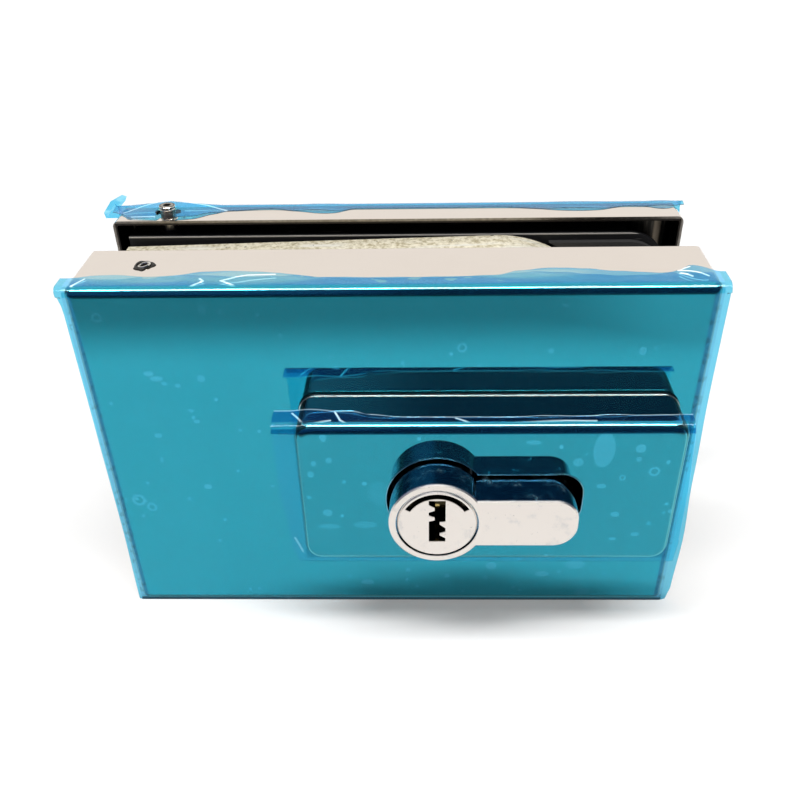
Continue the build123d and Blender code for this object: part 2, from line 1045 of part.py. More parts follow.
# Bolt: a head on the middle line and an arm above the cylinder, notched for the cam
notch_top = cylinder_axis_z + cam_tip_reach + notch_top_clearance
with BuildPart() as bolt:
    add(
        block(
            bolt_face_x,
            bolt_head_end_x,
            bolt_front_y,
            bolt_rear_y,
            bolt_head_bottom,
            bolt_head_top,
        )
    )
    add(
        block(
            arm_start_x,
            arm_end_x,
            bolt_front_y,
            bolt_rear_y,
            bolt_head_axis_z,
            arm_top,
        )
    )
    add(
        block(
            bolt_head_end_x,
            arm_end_x + overrun,
            bolt_front_y - overrun,
            bolt_rear_y + overrun,
            bolt_head_bottom - overrun,
            arm_bottom,
        ),
        mode=Mode.SUBTRACT,
    )
    add(
        block(
            notch_x - notch_half_width,
            notch_x + notch_half_width,
            bolt_front_y - overrun,
            bolt_rear_y + overrun,
            arm_bottom - overrun,
            notch_top,
        ),
        mode=Mode.SUBTRACT,
    )
    with BuildSketch(facing_front(bolt_front_y - overrun)):
        with Locations((guide_pin_place[0] + bolt_throw / 2, guide_pin_place[1])):
            SlotCenterToCenter(bolt_throw, 2 * (guide_pin_radius + guide_slot_play))
    extrude(amount=-(bolt_thickness + 2 * overrun), mode=Mode.SUBTRACT)
    chamfer(bolt.faces().sort_by(Axis.X)[0].edges(), length=bolt_head_chamfer)
bolt.part.label = "bolt"

# Guide pin of the bolt, pressed into the pocket's floor
with BuildPart() as bolt_guide_pin:
    add(
        round_bars(
            facing_front(bolt_front_y),
            [guide_pin_place],
            guide_pin_radius,
            pocket_floor_y + guide_pin_seat - bolt_front_y,
        )
    )
bolt_guide_pin.part.label = "bolt_guide_pin"

# Friction spring: a bowed leaf between the roof of its recess and the bolt's arm
leaf_start = spring_recess_start + leaf_end_gap
leaf_end = spring_recess_start + spring_recess_length - leaf_end_gap
leaf_middle = (leaf_start + leaf_end) / 2
leaf_centre_y = (bolt_front_y + bolt_rear_y) / 2
with BuildPart() as friction_spring:
    with BuildSketch(facing_front(leaf_centre_y - leaf_width / 2)):
        with BuildLine():
            Polyline(
                (leaf_start, recess_top),
                (leaf_start, recess_top - leaf_thickness),
                (leaf_middle - leaf_crest_length / 2, arm_top),
                (leaf_middle + leaf_crest_length / 2, arm_top),
                (leaf_end, recess_top - leaf_thickness),
                (leaf_end, recess_top),
                (leaf_middle + leaf_crest_length / 2, arm_top + leaf_thickness),
                (leaf_middle - leaf_crest_length / 2, arm_top + leaf_thickness),
                close=True,
            )
        make_face()
    extrude(amount=-leaf_width)
friction_spring.part.label = "friction_spring"

# Cylinder body: the euro profile with its bores, cam slot and the thread of its fixing screw
tail_top_z = cylinder_axis_z + tail_width / 2
flange_bore_depth = plug_flange_depth + plug_clearance
with BuildPart() as cylinder_body:
    extrude(
        cylinder_profile(cylinder_face_y, 0),
        amount=-(cylinder_front_length + cylinder_rear_length),
    )
    chamfer(cylinder_body.faces().sort_by(Axis.Y)[0].edges(), length=cylinder_rim_chamfer)
    add(
        round_bars(
            facing_front(cylinder_face_y),
            [(cylinder_axis_x, cylinder_axis_z)],
            plug_flange_radius + plug_flange_clearance,
            flange_bore_depth,
        ),
        mode=Mode.SUBTRACT,
    )
    add(
        round_bars(
            facing_front(cylinder_face_y),
            [(cylinder_axis_x, cylinder_axis_z)],
            plug_radius + plug_clearance,
            slot_front_y - cylinder_face_y + overrun,
        ),
        mode=Mode.SUBTRACT,
    )
    add(
        block(
            cylinder_axis_x - cylinder_radius - overrun,
            cylinder_axis_x + cam_sweep_radius,
            slot_front_y,
            slot_rear_y,
            cylinder_axis_z - cylinder_radius - overrun,
            cylinder_axis_z + cylinder_radius + overrun,
        ),
        mode=Mode.SUBTRACT,
    )
    add(
        round_bars(
            facing_front(slot_rear_y - overrun),
            [(cylinder_axis_x, cylinder_axis_z)],
            journal_radius + plug_clearance,
            journal_engagement + 2 * overrun,
        ),
        mode=Mode.SUBTRACT,
    )
    add(
        pin_row(pin_radius + pin_bore_clearance, plug_radius, cylinder_profile_height),
        mode=Mode.SUBTRACT,
    )
    add(
        round_bars(
            Plane.XY.offset(tail_top_z - cylinder_screw_tip_margin),
            [(tail_screw_x, cam_centre_y)],
            m5_radius + thread_clearance,
            tail_width,
        ),
        mode=Mode.SUBTRACT,
    )
cylinder_body.part.label = "cylinder_body"

# Plug: turns in the body, with the keyway, a crescent groove and a flatted journal
journal_end_y = slot_rear_y + journal_engagement
shoulder_y = slot_front_y + plug_shoulder
clip_front_y = slot_front_y + cam_side_clearance
plug_face = Plane(
    origin=(cylinder_axis_x, cylinder_face_y, cylinder_axis_z),
    x_dir=(1, 0, 0),
    z_dir=(0, -1, 0),
)


def keyway_side(shares, base, reach):
    """Points along one side of the keyway, top to bottom, where two teeth reach into it."""
    points = []
    for index, share in enumerate(shares):
        inside = index % 4 in (1, 2)
        level = keyway_rise + keyway_height / 2 - share * keyway_height
        points.append((base + reach if inside else base, level))
    return points


def journal(y, length):
    """Flatted round bar on the plug's axis, which carries and drives the cam."""
    with BuildPart() as bar:
        add(
            round_bars(
                facing_front(y),
                [(cylinder_axis_x, cylinder_axis_z)],
                journal_radius,
                length,
            )
        )
        add(
            block(
                cylinder_axis_x - journal_radius - overrun,
                cylinder_axis_x - journal_flat,
                y - overrun,
                y + length + overrun,
                cylinder_axis_z - journal_radius,
                cylinder_axis_z + journal_radius,
            ),
            mode=Mode.SUBTRACT,
        )
    return bar.part


with BuildPart() as cylinder_plug:
    with BuildSketch(plug_face):
        Circle(plug_radius)
    extrude(amount=-(shoulder_y - cylinder_face_y))
    with BuildSketch(plug_face):
        Circle(plug_flange_radius)
    extrude(amount=-plug_flange_depth)
    chamfer(cylinder_plug.faces().sort_by(Axis.Y)[0].edges(), length=plug_rim_chamfer)
    add(journal(shoulder_y, journal_end_y - shoulder_y))
    with BuildSketch(facing_front(clip_front_y)):
        with Locations((cylinder_axis_x, cylinder_axis_z)):
            Circle(plug_radius + overrun)
            Circle(plug_radius - clip_groove_depth, mode=Mode.SUBTRACT)
    extrude(amount=-clip_thickness, mode=Mode.SUBTRACT)
    with BuildSketch(plug_face):
        with BuildLine():
            Polyline(
                (-keyway_width / 2, keyway_rise + keyway_height / 2),
                *keyway_side(
                    left_tooth_shares,
                    -keyway_width / 2,
                    tooth_reach_share * keyway_width,
                ),
                (-keyway_width / 2, keyway_rise - keyway_height / 2),
                (keyway_width / 2, keyway_rise - keyway_height / 2),
                *reversed(
                    keyway_side(
                        right_tooth_shares,
                        keyway_width / 2,
                        -tooth_reach_share * keyway_width,
                    )
                ),
                (keyway_width / 2, keyway_rise + keyway_height / 2),
                close=True,
            )
        make_face()
    extrude(amount=-keyway_depth, mode=Mode.SUBTRACT)
    crescent_span = 2 * plug_flange_radius
    crescent_side = crescent_span * sin(radians(crescent_half_angle))
    crescent_level = crescent_span * cos(radians(crescent_half_angle))
    with BuildSketch(plug_face):
        Circle(crescent_outer_radius)
        Circle(crescent_inner_radius, mode=Mode.SUBTRACT)
        with BuildLine():
            Polyline(
                (0, 0),
                (crescent_side, crescent_level),
                (crescent_side, crescent_span),
                (-crescent_side, crescent_span),
                (-crescent_side, crescent_level),
                close=True,
            )
        make_face(mode=Mode.INTERSECT)
    extrude(amount=-crescent_depth, mode=Mode.SUBTRACT)
    add(pin_row(pin_radius + pin_bore_clearance, 0, plug_radius + overrun), mode=Mode.SUBTRACT)
cylinder_plug.part.label = "cylinder_plug"

# Cam: a hub on the journal with one lever, which stands in the notch of the bolt
cam_front_y = shoulder_y + cam_side_clearance
cam_length = slot_rear_y - cam_side_clearance - cam_front_y
with BuildPart() as cylinder_cam:
    with BuildSketch(lever_plane(cam_front_y)):
        Circle(cam_hub_radius)
        with BuildLine():
            Polyline(
                (-cam_root_half_width, 0),
                (cam_root_half_width, 0),
                (cam_tip_radius, cam_tip_centre),
                (-cam_tip_radius, cam_tip_centre),
                close=True,
            )
        make_face()
        with Locations((0, cam_tip_centre)):
            Circle(cam_tip_radius)
    extrude(amount=-cam_length)
    add(journal(cam_front_y - overrun, cam_length + 2 * overrun), mode=Mode.SUBTRACT)
cylinder_cam.part.label = "cylinder_cam"

# Spring clip in the plug's groove, which keeps the plug in the body
with BuildPart() as plug_clip:
    with BuildSketch(facing_front(clip_front_y)):
        with Locations((cylinder_axis_x, cylinder_axis_z)):
            Circle(clip_outer_radius)
            Circle(plug_radius - clip_groove_depth + clip_clearance, mode=Mode.SUBTRACT)
        with Locations((cylinder_axis_x, cylinder_axis_z - clip_outer_radius)):
            Rectangle(clip_mouth, clip_outer_radius, mode=Mode.SUBTRACT)
    extrude(amount=-clip_thickness)
plug_clip.part.label = "plug_clip"

# Key pins, driver pins, springs and bore plugs, one of each in every chamber
shear_reach = plug_radius - shear_gap
driver_start = plug_radius + plug_clearance + shear_gap
driver_end = driver_start + driver_pin_length
tail_reach = tail_end_x - cylinder_axis_x - bore_plug_sink
with BuildPart() as key_pins:
    add(pin_row(pin_radius, -key_pin_reach, plug_radius))
    add(
        round_bars(
            facing_front(cylinder_face_y),
            [(cylinder_axis_x, cylinder_axis_z)],
            shear_reach,
            shoulder_y - cylinder_face_y,
        ),
        mode=Mode.INTERSECT,
    )
key_pins.part.label = "key_pins"

with BuildPart() as driver_pins:
    add(pin_row(pin_radius, driver_start, driver_end))
driver_pins.part.label = "driver_pins"

with BuildPart() as pin_springs:
    add(pin_row(pin_radius, driver_end, tail_reach - bore_plug_length))
    add(
        pin_row(pin_radius - spring_wall, driver_end, tail_reach - bore_plug_length),
        mode=Mode.SUBTRACT,
    )
pin_springs.part.label = "pin_springs"

with BuildPart() as bore_plugs:
    add(
        pin_row(
            pin_radius + pin_bore_clearance,
            tail_reach - bore_plug_length,
            tail_reach,
        )
    )
bore_plugs.part.label = "bore_plugs"

# Long screw from the lower edge of the casting into the cylinder's tail
with BuildPart() as cylinder_screw:
    add(
        pan_head_screws(
            Plane(origin=(0, 0, head_seat_z), x_dir=(1, 0, 0), z_dir=(0, 0, -1)),
            [(tail_screw_x, -cam_centre_y)],
            m5_radius,
            tail_top_z - cylinder_screw_tip_margin - head_seat_z,
            m5_head_radius,
            m5_head_height,
        )
    )
cylinder_screw.part.label = "cylinder_screw"

# Set screws: one through the top and one through the bottom flange of each cover
under_side = Plane(origin=(0, 0, 0), x_dir=(1, 0, 0), z_dir=(0, 0, -1))
front_screw_top = cover_height - front_plate_margin + front_set_screw_length
with BuildPart() as front_set_screws:
    add(
        set_screw(
            Plane.XY.offset(front_screw_top),
            front_set_screw_place,
            front_set_screw_length,
        )
    )
    add(
        set_screw(
            under_side.offset(front_screw_top - cover_height),
            (front_set_screw_place[0], -front_set_screw_place[1]),
            front_set_screw_length,
        )
    )
front_set_screws.part.label = "front_set_screws"

with BuildPart() as rear_set_screws:
    add(
        set_screw(
            Plane.XY.offset(cover_height + rear_set_screw_proud),
            rear_set_screw_place,
            rear_set_screw_length,
        )
    )
    add(
        set_screw(
            under_side.offset(-rear_set_screw_sunk),
            (rear_set_screw_place[0], -rear_set_screw_place[1]),
            rear_set_screw_length,
        )
    )
rear_set_screws.part.label = "rear_set_screws"

pieces = [
    front_cover,
    cylinder_housing,
    housing_studs,
    housing_screws,
    rear_cover,
    front_cover_film,
    housing_film,
    rear_cover_film,
    cylinder_guard,
    guard_screws,
    front_plate,
    body_screws,
    rear_plate,
    front_gasket,
    rear_gasket,
    clamp_screws,
    lock_body,
    forend_plate,
    forend_screws,
    bolt,
    bolt_guide_pin,
    friction_spring,
    cylinder_body,
    cylinder_plug,
    cylinder_cam,
    plug_clip,
    key_pins,
    driver_pins,
    pin_springs,
    bore_plugs,
    cylinder_screw,
    front_set_screws,
    rear_set_screws,
]
os.makedirs("parts", exist_ok=True)
for piece in pieces:
    export_step(piece.part, f"parts/{piece.part.label}.step")

print(f"bolt throw {bolt_throw:.3f} over {2 * cam_half_sweep} degrees of the plug")
print(f"cylinder stands {cylinder_proud:.2f} out of the housing, overall depth {overall_depth:.2f}")
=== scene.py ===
import math
from functools import reduce

import bmesh
import bpy
from mathutils import Matrix, Vector, noise


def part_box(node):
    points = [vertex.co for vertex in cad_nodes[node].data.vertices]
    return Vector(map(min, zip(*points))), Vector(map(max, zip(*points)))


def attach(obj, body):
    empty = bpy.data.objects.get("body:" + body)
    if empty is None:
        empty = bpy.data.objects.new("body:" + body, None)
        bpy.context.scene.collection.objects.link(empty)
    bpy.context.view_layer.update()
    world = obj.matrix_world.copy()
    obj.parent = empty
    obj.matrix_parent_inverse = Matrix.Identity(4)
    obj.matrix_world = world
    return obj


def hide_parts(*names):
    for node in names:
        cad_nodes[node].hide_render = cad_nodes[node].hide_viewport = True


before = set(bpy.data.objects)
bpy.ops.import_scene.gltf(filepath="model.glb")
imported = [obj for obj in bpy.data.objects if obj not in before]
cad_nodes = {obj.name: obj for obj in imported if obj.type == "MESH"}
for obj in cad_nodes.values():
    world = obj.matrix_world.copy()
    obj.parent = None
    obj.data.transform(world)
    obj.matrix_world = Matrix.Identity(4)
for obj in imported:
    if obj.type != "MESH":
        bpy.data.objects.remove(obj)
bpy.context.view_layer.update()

MM = 0.001


def box_mm(node):
    """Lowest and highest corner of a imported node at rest, in millimetres."""
    return [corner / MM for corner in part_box(node)]


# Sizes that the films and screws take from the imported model, in millimetres
cover_low, cover_high = box_mm("front_cover")
housing_low, housing_high = box_mm("cylinder_housing")
rear_low, rear_high = box_mm("rear_cover")
profile_low, profile_high = box_mm("cylinder_body")
cylinder_radius = (profile_high.z - profile_low.z) / 2
cylinder_x = profile_low.x + cylinder_radius
cylinder_z = profile_low.z + cylinder_radius
rear_screw_low, rear_screw_high = box_mm("rear_set_screws")
rear_screw_x = (rear_screw_low.x + rear_screw_high.x) / 2
rear_screw_y = (rear_screw_low.y + rear_screw_high.y) / 2
front_screw_low, front_screw_high = box_mm("front_set_screws")
front_screw_x = (front_screw_low.x + front_screw_high.x) / 2
front_screw_y = (front_screw_low.y + front_screw_high.y) / 2

# Other sizes of the sheet, the films and the cut-out, in millimetres
cover_bend = 1.6
housing_bend = 1.8
sheet_thickness = 0.8
film_thickness = 0.08
film_gap = 0.02
cutout_clearance = 0.6
cutout_end_play = 0.9


# Shader nodes

class Wire:
    """One output of a node, which arithmetic turns into Math nodes."""

    def __init__(self, tree, socket):
        self.tree = tree
        self.socket = socket

    def math(self, operation, first, second=0.0):
        return self.tree.node("ShaderNodeMath", {"operation": operation}, {0: first, 1: second})

    def __add__(self, other):
        return self.math("ADD", self, other)

    def __sub__(self, other):
        return self.math("SUBTRACT", self, other)

    def __rsub__(self, other):
        return self.math("SUBTRACT", other, self)

    def __mul__(self, other):
        return self.math("MULTIPLY", self, other)

    def __truediv__(self, other):
        return self.math("DIVIDE", self, other)

    def __pow__(self, other):
        return self.math("POWER", self, other)

    def __gt__(self, other):
        return self.math("GREATER_THAN", self, other)

    def __lt__(self, other):
        return self.math("LESS_THAN", self, other)

    def __abs__(self):
        return self.math("ABSOLUTE", self)

    def __neg__(self):
        return self.math("MULTIPLY", self, -1.0)

    __radd__ = __add__
    __rmul__ = __mul__

    def most(self, other):
        return self.math("MAXIMUM", self, other)

    def least(self, other):
        return self.math("MINIMUM", self, other)


def highest(masks):
    """The highest of several masks at each point."""
    return reduce(Wire.most, masks)


def distance(across, up):
    """How far a point lies from the middle that across and up are counted from."""
    return (across * across + up * up) ** 0.5


class Tree:
    """The node tree of a material or of the world."""

    def __init__(self, owner):
        owner.use_nodes = True
        self.tree = owner.node_tree
        self.tree.nodes.clear()

    def node(self, kind, settings=None, sockets=None, output=0):
        """A node of one kind: its settings first, then the values or links of its sockets."""
        made = self.tree.nodes.new(kind)
        for key, value in (settings or {}).items():
            if key == "stops":
                ramp = made.color_ramp
                while len(ramp.elements) < len(value):
                    ramp.elements.new(1.0)
                for element, (position, colour) in zip(ramp.elements, value):
                    element.position = position
                    element.color = (*colour, 1.0)
            else:
                setattr(made, key, value)
        for key, value in (sockets or {}).items():
            if isinstance(value, Wire):
                self.tree.links.new(value.socket, made.inputs[key])
            else:
                made.inputs[key].default_value = value
        return Wire(self, made.outputs[output]) if made.outputs else None

    def place(self):
        """Where a point lies on the piece at rest, in millimetres."""
        here = self.node("ShaderNodeTexCoord", output="Object")
        scale = {"operation": "SCALE"}
        return self.node("ShaderNodeVectorMath", scale, {0: here, "Scale": 1 / MM})

    def axes(self, vector):
        """X, Y and Z of a vector."""
        split = {"Vector": vector}
        return [self.node("ShaderNodeSeparateXYZ", None, split, axis) for axis in "XYZ"]

    def ray(self, fact):
        """What the Light Path node tells of the ray that meets the surface."""
        return self.node("ShaderNodeLightPath", output=fact)

    def grain(self, where, size, detail=2.0, stretch=(1.0, 1.0, 1.0), roughness=0.5):
        """Noise from 0 to 1 whose features are about size millimetres across."""
        scaled = self.node(
            "ShaderNodeVectorMath",
            {"operation": "MULTIPLY"},
            {0: where, 1: tuple(1 / (size * part) for part in stretch)},
        )
        return self.node(
            "ShaderNodeTexNoise",
            None,
            {"Vector": scaled, "Scale": 1.0, "Detail": detail, "Roughness": roughness},
            "Fac",
        )

    def step(self, value, none, full):
        """Smooth change from 0 at none to 1 at full, which may be the lower of the two."""
        return self.node(
            "ShaderNodeMapRange",
            {"interpolation_type": "SMOOTHSTEP"},
            {"Value": value, "From Min": none, "From Max": full},
        )

    def band(self, value, rise, fall):
        """1 between two edges: it goes up from 0 over the pair rise and down over the pair fall."""
        return self.step(value, *rise) * self.step(value, *reversed(fall))

    def tint(self, share, first, second):
        """First colour where share is 0, second where it is 1."""
        first, second = (
            (*colour, 1.0) if isinstance(colour, tuple) else colour for colour in (first, second)
        )
        first_colour, second_colour, mixed_colour = 6, 7, 2
        return self.node(
            "ShaderNodeMix",
            {"data_type": "RGBA"},
            {0: share, first_colour: first, second_colour: second},
            mixed_colour,
        )

    def creases(self, across, up, lines, width):
        """1 along some lines, each through its own points, falling to 0 at width beside them."""
        core = width * 0.3
        marks = []
        for points in lines:
            for start, end in zip(points, points[1:]):
                run = Vector(end) - Vector(start)
                way = run.normalized()
                off_across = across - start[0]
                off_up = up - start[1]
                sideways = off_across * way.y - off_up * way.x
                along = off_across * way.x + off_up * way.y
                outside = (-along).most(along - run.length).most(0.0)
                marks.append(1 - self.step(distance(sideways, outside), core, width))
        return highest(marks)

    def oval(self, across, up, middle, radii, softness=0.25):
        """1 inside an oval round the middle, falling to 0 over a share of its radius."""
        reach = distance((across - middle[0]) / radii[0], (up - middle[1]) / radii[1])
        return 1 - self.step(reach, 1 - softness, 1 + softness)

    def ovals(self, across, up, shapes):
        """1 inside any of some ovals, each given by its middle, radii and softness."""
        return highest(self.oval(across, up, *shape) for shape in shapes)


class Finish(Tree):
    """A material whose one shader is a Principled node."""

    def __init__(self, name, constants):
        self.material = bpy.data.materials.new(name)
        super().__init__(self.material)
        self.shader = self.tree.nodes.new("ShaderNodeBsdfPrincipled")
        out = self.tree.nodes.new("ShaderNodeOutputMaterial")
        self.tree.links.new(self.shader.outputs[0], out.inputs["Surface"])
        for key, value in constants.items():
            self.shader.inputs[key].default_value = value

    def set(self, socket, value):
        """Links a wire to a socket of the shader, or gives the socket a colour."""
        if isinstance(value, Wire):
            self.tree.links.new(value.socket, self.shader.inputs[socket])
        else:
            self.shader.inputs[socket].default_value = (*value, 1.0)

    def relief(self, height, depth):
        """Bump of a height from 0 to 1, depth millimetres deep."""
        sockets = {"Strength": 1.0, "Distance": depth * MM, "Height": height}
        self.set("Normal", self.node("ShaderNodeBump", None, sockets))


# Finishes of the metal and the rubber

def mirror_steel(name, face_y, mouth_y, low, high):
    """Mirror polished sheet outside; dull and dark inside the pan, with a cut edge at its mouth."""
    finish = Finish(name, {"Metallic": 1.0})
    where = finish.place()
    x, y, z = finish.axes(where)
    inward = math.copysign(1.0, mouth_y - face_y)
    depth = (y - face_y) * inward
    margin = sheet_thickness * 0.6
    inside = (
        (depth > margin)
        * (x > low.x + margin)
        * (x < high.x - margin)
        * (z > low.z + margin)
        * (z < high.z - margin)
    )
    cut_edge = depth > abs(mouth_y - face_y) - 0.05
    cloud = finish.grain(where, 9.0, 3.0)
    outer = finish.tint(cloud, (0.815, 0.730, 0.658), (0.85, 0.77, 0.695))
    streaks = finish.step(finish.grain(where, 2.2, 3.0, (0.35, 1.0, 5.0)), 0.45, 0.75)
    dull = finish.tint(streaks, (0.035, 0.033, 0.030), (0.16, 0.145, 0.125))
    brown_band = finish.band(x, (51.2, 51.7), (52.5, 53.0))
    dull = finish.tint(brown_band * 0.8, dull, (0.42, 0.35, 0.27))
    colour = finish.tint(inside, outer, dull)
    from_side = (x - low.x).least(high.x - x).least(z - low.z).least(high.z - z)
    # The cut edge: pale and mottled at its outer corner, darker further in towards the pan
    cut_edge_tone = finish.tint(finish.grain(where, 0.8, 3.0), (0.16, 0.14, 0.12), (0.55, 0.50, 0.44))
    cut_edge_tone = finish.tint(finish.step(from_side, 0.25, 0.60), cut_edge_tone, (0.045, 0.04, 0.035))
    finish.set("Base Color", finish.tint(cut_edge, colour, cut_edge_tone))
    hairlines = finish.step(finish.grain(where, 0.5, 2.0, (14.0, 1.0, 1.0)), 0.62, 0.8)
    finish.set("Roughness", 0.03 + 0.03 * hairlines + 0.25 * inside + 0.3 * cut_edge)
    finish.relief(finish.grain(where, 11.0, 0.0), 0.008)
    return finish


def plain_metal(name, first, second, roughness, size=1.2, relief=0.02):
    """Metal with a mottled colour, patchy gloss and a fine uneven surface."""
    finish = Finish(name, {"Metallic": 1.0})
    where = finish.place()
    mottle = finish.grain(where, size, 4.0)
    rubbed = finish.grain(where, size * 5, 3.0)
    finish.set("Base Color", finish.tint(mottle, first, second))
    finish.set("Roughness", roughness + 0.1 * rubbed)
    finish.relief(mottle + rubbed, relief)
    return finish


def rough_casting():
    """Zinc alloy as cast: pale straw, grainy, with pits and rubbed ridges."""
    finish = Finish("rough_cast_zinc", {"Metallic": 0.35})
    where = finish.place()
    grain = finish.grain(where, 0.9, 5.0, roughness=0.65)
    flow = finish.grain(where, 5.0, 3.0, (3.0, 0.5, 1.0))
    pits = finish.step(finish.grain(where, 1.6, 3.0), 0.30, 0.24)
    pale = finish.tint(finish.step(grain, 0.3, 0.62), (0.50, 0.42, 0.24), (1.0, 0.93, 0.74))
    streaked = finish.tint(finish.step(flow, 0.45, 0.7), pale, (0.98, 0.95, 0.84))
    finish.set("Base Color", finish.tint(pits, streaked, (0.08, 0.075, 0.05)))
    finish.set("Roughness", 0.32 + 0.3 * grain)
    finish.relief(grain + 0.6 * flow - pits, 0.12)
    return finish


def black_coating():
    """Black coated steel plate with grey scratches, and a pale line painted along the rear plate's top
    front edge as rubbed coating and as its highlight.
    """
    finish = Finish("black_coated_steel", {"Metallic": 0.0, "Specular IOR Level": 0.25})
    where = finish.place()
    x, y, z = finish.axes(where)
    scratches = finish.step(finish.grain(where, 1.0, 3.0, (8.0, 1.0, 0.4)), 0.66, 0.74)
    black = finish.tint(scratches, (0.010, 0.010, 0.011), (0.12, 0.115, 0.11))
    plate_low, plate_high = box_mm("rear_plate")
    behind_front = y - plate_low.y
    under_top = plate_high.z - z
    # Pale line along the top front edge: rubbed coating, and a painted highlight of the edge
    rubbed = finish.step(under_top, 0.30, 0.10) * finish.step(behind_front, 0.22, 0.10)
    finish.set("Base Color", finish.tint(rubbed * (behind_front > -0.05), black, (0.45, 0.43, 0.40)))
    powder = finish.grain(where, 0.35, 2.0)
    finish.set("Roughness", 0.42 + 0.2 * powder)
    finish.relief(powder, 0.03)
    return finish


def moulded_rubber():
    """Black rubber, dull and finely grained."""
    finish = Finish("moulded_rubber", {"Metallic": 0.0})
    fine = finish.grain(finish.place(), 0.4, 3.0)
    finish.set("Base Color", finish.tint(fine, (0.012, 0.012, 0.012), (0.035, 0.034, 0.033)))
    finish.set("Roughness", 0.6 + 0.25 * fine)
    finish.relief(fine, 0.04)
    return finish


def nickel_plate():
    """Nickel plated brass: satin and smudged on the end face, bright and scuffed on the sides, which
    are painted teal as a reflection and paler on the scuffs as glints.
    """
    finish = Finish("nickel_plate", {"Metallic": 1.0})
    where = finish.place()
    x, y, z = finish.axes(where)
    on_side = finish.step(y, profile_low.y + 0.10, profile_low.y + 0.40)
    on_face = 1 - on_side
    smudge = finish.step(finish.grain(where, 2.6, 5.0, roughness=0.6), 0.54, 0.74)
    speck = finish.step(finish.grain(where, 0.5, 3.0), 0.68, 0.76)
    face = finish.tint(smudge * 0.6, (0.97, 0.90, 0.835), (0.70, 0.68, 0.67))
    face = finish.tint(speck * 0.5, face, (0.40, 0.38, 0.36))
    # Sides: a painted teal reflection; the real scuffs are rougher and are painted paler as glints
    scuff_and_glint = finish.step(finish.grain(where, 2.4, 4.0, roughness=0.6), 0.46, 0.78)
    side = finish.tint(scuff_and_glint, (0.24, 0.42, 0.56), (0.50, 0.74, 0.82))
    # Painted shade: the sides inside the bore, round the plug, are nearly black
    shaded_in_bore = distance(x - cylinder_x, z - cylinder_z) < 7.0
    side = finish.tint(on_side * shaded_in_bore, side, (0.05, 0.042, 0.03))
    finish.set("Base Color", finish.tint(on_face, side, face))
    finish.set("Roughness", 0.08 + 0.22 * on_face + 0.25 * scuff_and_glint * on_side)
    finish.relief(finish.grain(where, 0.8, 3.0), 0.012)
    return finish


# Blue film, whose tint the light passes twice where steel lies under it

film_constants = {
    "Transmission Weight": 0.985,
    "IOR": 1.25,
    "Roughness": 0.02,
    "Emission Strength": 1.0,
}
film_blues = ((0.148, 0.694, 0.850), (0.172, 0.727, 0.882))
# Painted shade: the housing's film is 7% darker than the front cover's
housing_film_blues_shaded = [tuple(0.93 * part for part in blue) for blue in film_blues]
film_on_white = (0.17, 0.61, 0.81)
# On a top flange the film is painted a lighter blue, for the brighter light there
film_on_flange = (0.22, 0.64, 0.94)
# Where the film lifts it is painted paler, a stand-in for the light that the air under it reflects
film_lifted_sheen = (0.42, 0.80, 0.97)
film_flap = (0.30, 0.86, 1.0)
# Bubbles are real air under the film; their paler colour is a painted reflection of that air
film_bubble_sheen = (0.27, 0.80, 1.0)
# Creases are real folds, painted white as highlights
film_crease_highlight = (0.96, 1.0, 1.0)
film_alone = (0.14, 0.62, 0.90)
film_stretched = (0.34, 0.80, 1.0)
# A painted glow on the creases, as a highlight
crease_glow = (0.20, 0.26, 0.29)
no_glow = (0.0, 0.0, 0.0)


def blue_film(name, layers, blues=film_blues):
    """Clear film in two clouded blues, tinted by layers(tree, where, x, y, z) of (share, colour).

    A later layer lies over the earlier ones. Creases also glow a little, as if they caught light.
    """
    finish = Finish(name, film_constants)
    finish.set("Emission Color", no_glow)
    where = finish.place()
    colour = finish.tint(finish.grain(where, 26.0), *blues)
    for share, tone in layers(finish, where, *finish.axes(where)):
        colour = finish.tint(share, colour, tone)
        if tone == film_crease_highlight:
            finish.set("Emission Color", finish.tint(share, no_glow, crease_glow))
    finish.set("Base Color", colour)
    finish.relief(finish.grain(where, 5.0, 1.0), 0.004)
    return finish


def trapped_air(tree, where, x, z, bubbles, rings):
    """Bubbles under a film: chosen ovals, rings, and small dots in loose clusters."""
    cells = tree.node(
        "ShaderNodeTexVoronoi",
        {"feature": "F1"},
        {"Vector": where, "Scale": 0.30, "Randomness": 1.0},
        "Distance",
    )
    clusters = tree.step(tree.grain(where, 16.0, 1.0), 0.48, 0.56)
    air = [tree.step(cells, 0.125, 0.095) * clusters * 0.75]
    for middle, radii, strength in bubbles:
        air.append(tree.oval(x, z, middle, radii, 0.10) * strength)
    for middle, radius in rings:
        hollow = radius * 0.55
        rim = tree.oval(x, z, middle, (radius, radius)) - tree.oval(x, z, middle, (hollow, hollow))
        air.append(rim * 0.7)
    return highest(air)


# Mesh helpers

def add_object(name, data):
    """Object in the scene, made from its data."""
    made = bpy.data.objects.new(name, data)
    bpy.context.scene.collection.objects.link(made)
    return made


def new_piece(name, finish, shape, sharp=35.0):
    """Piece of the case from a bmesh in millimetres, with edges sharp above an angle."""
    mesh = bpy.data.meshes.new(name)
    bmesh.ops.scale(shape, vec=(MM, MM, MM), verts=shape.verts)
    bmesh.ops.recalc_face_normals(shape, faces=shape.faces)
    shape.to_mesh(mesh)
    shape.free()
    mesh.shade_smooth()
    mesh.set_sharp_from_angle(angle=math.radians(sharp))
    piece = add_object(name, mesh)
    mesh.materials.append(finish.material)
    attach(piece, "case")
    return piece


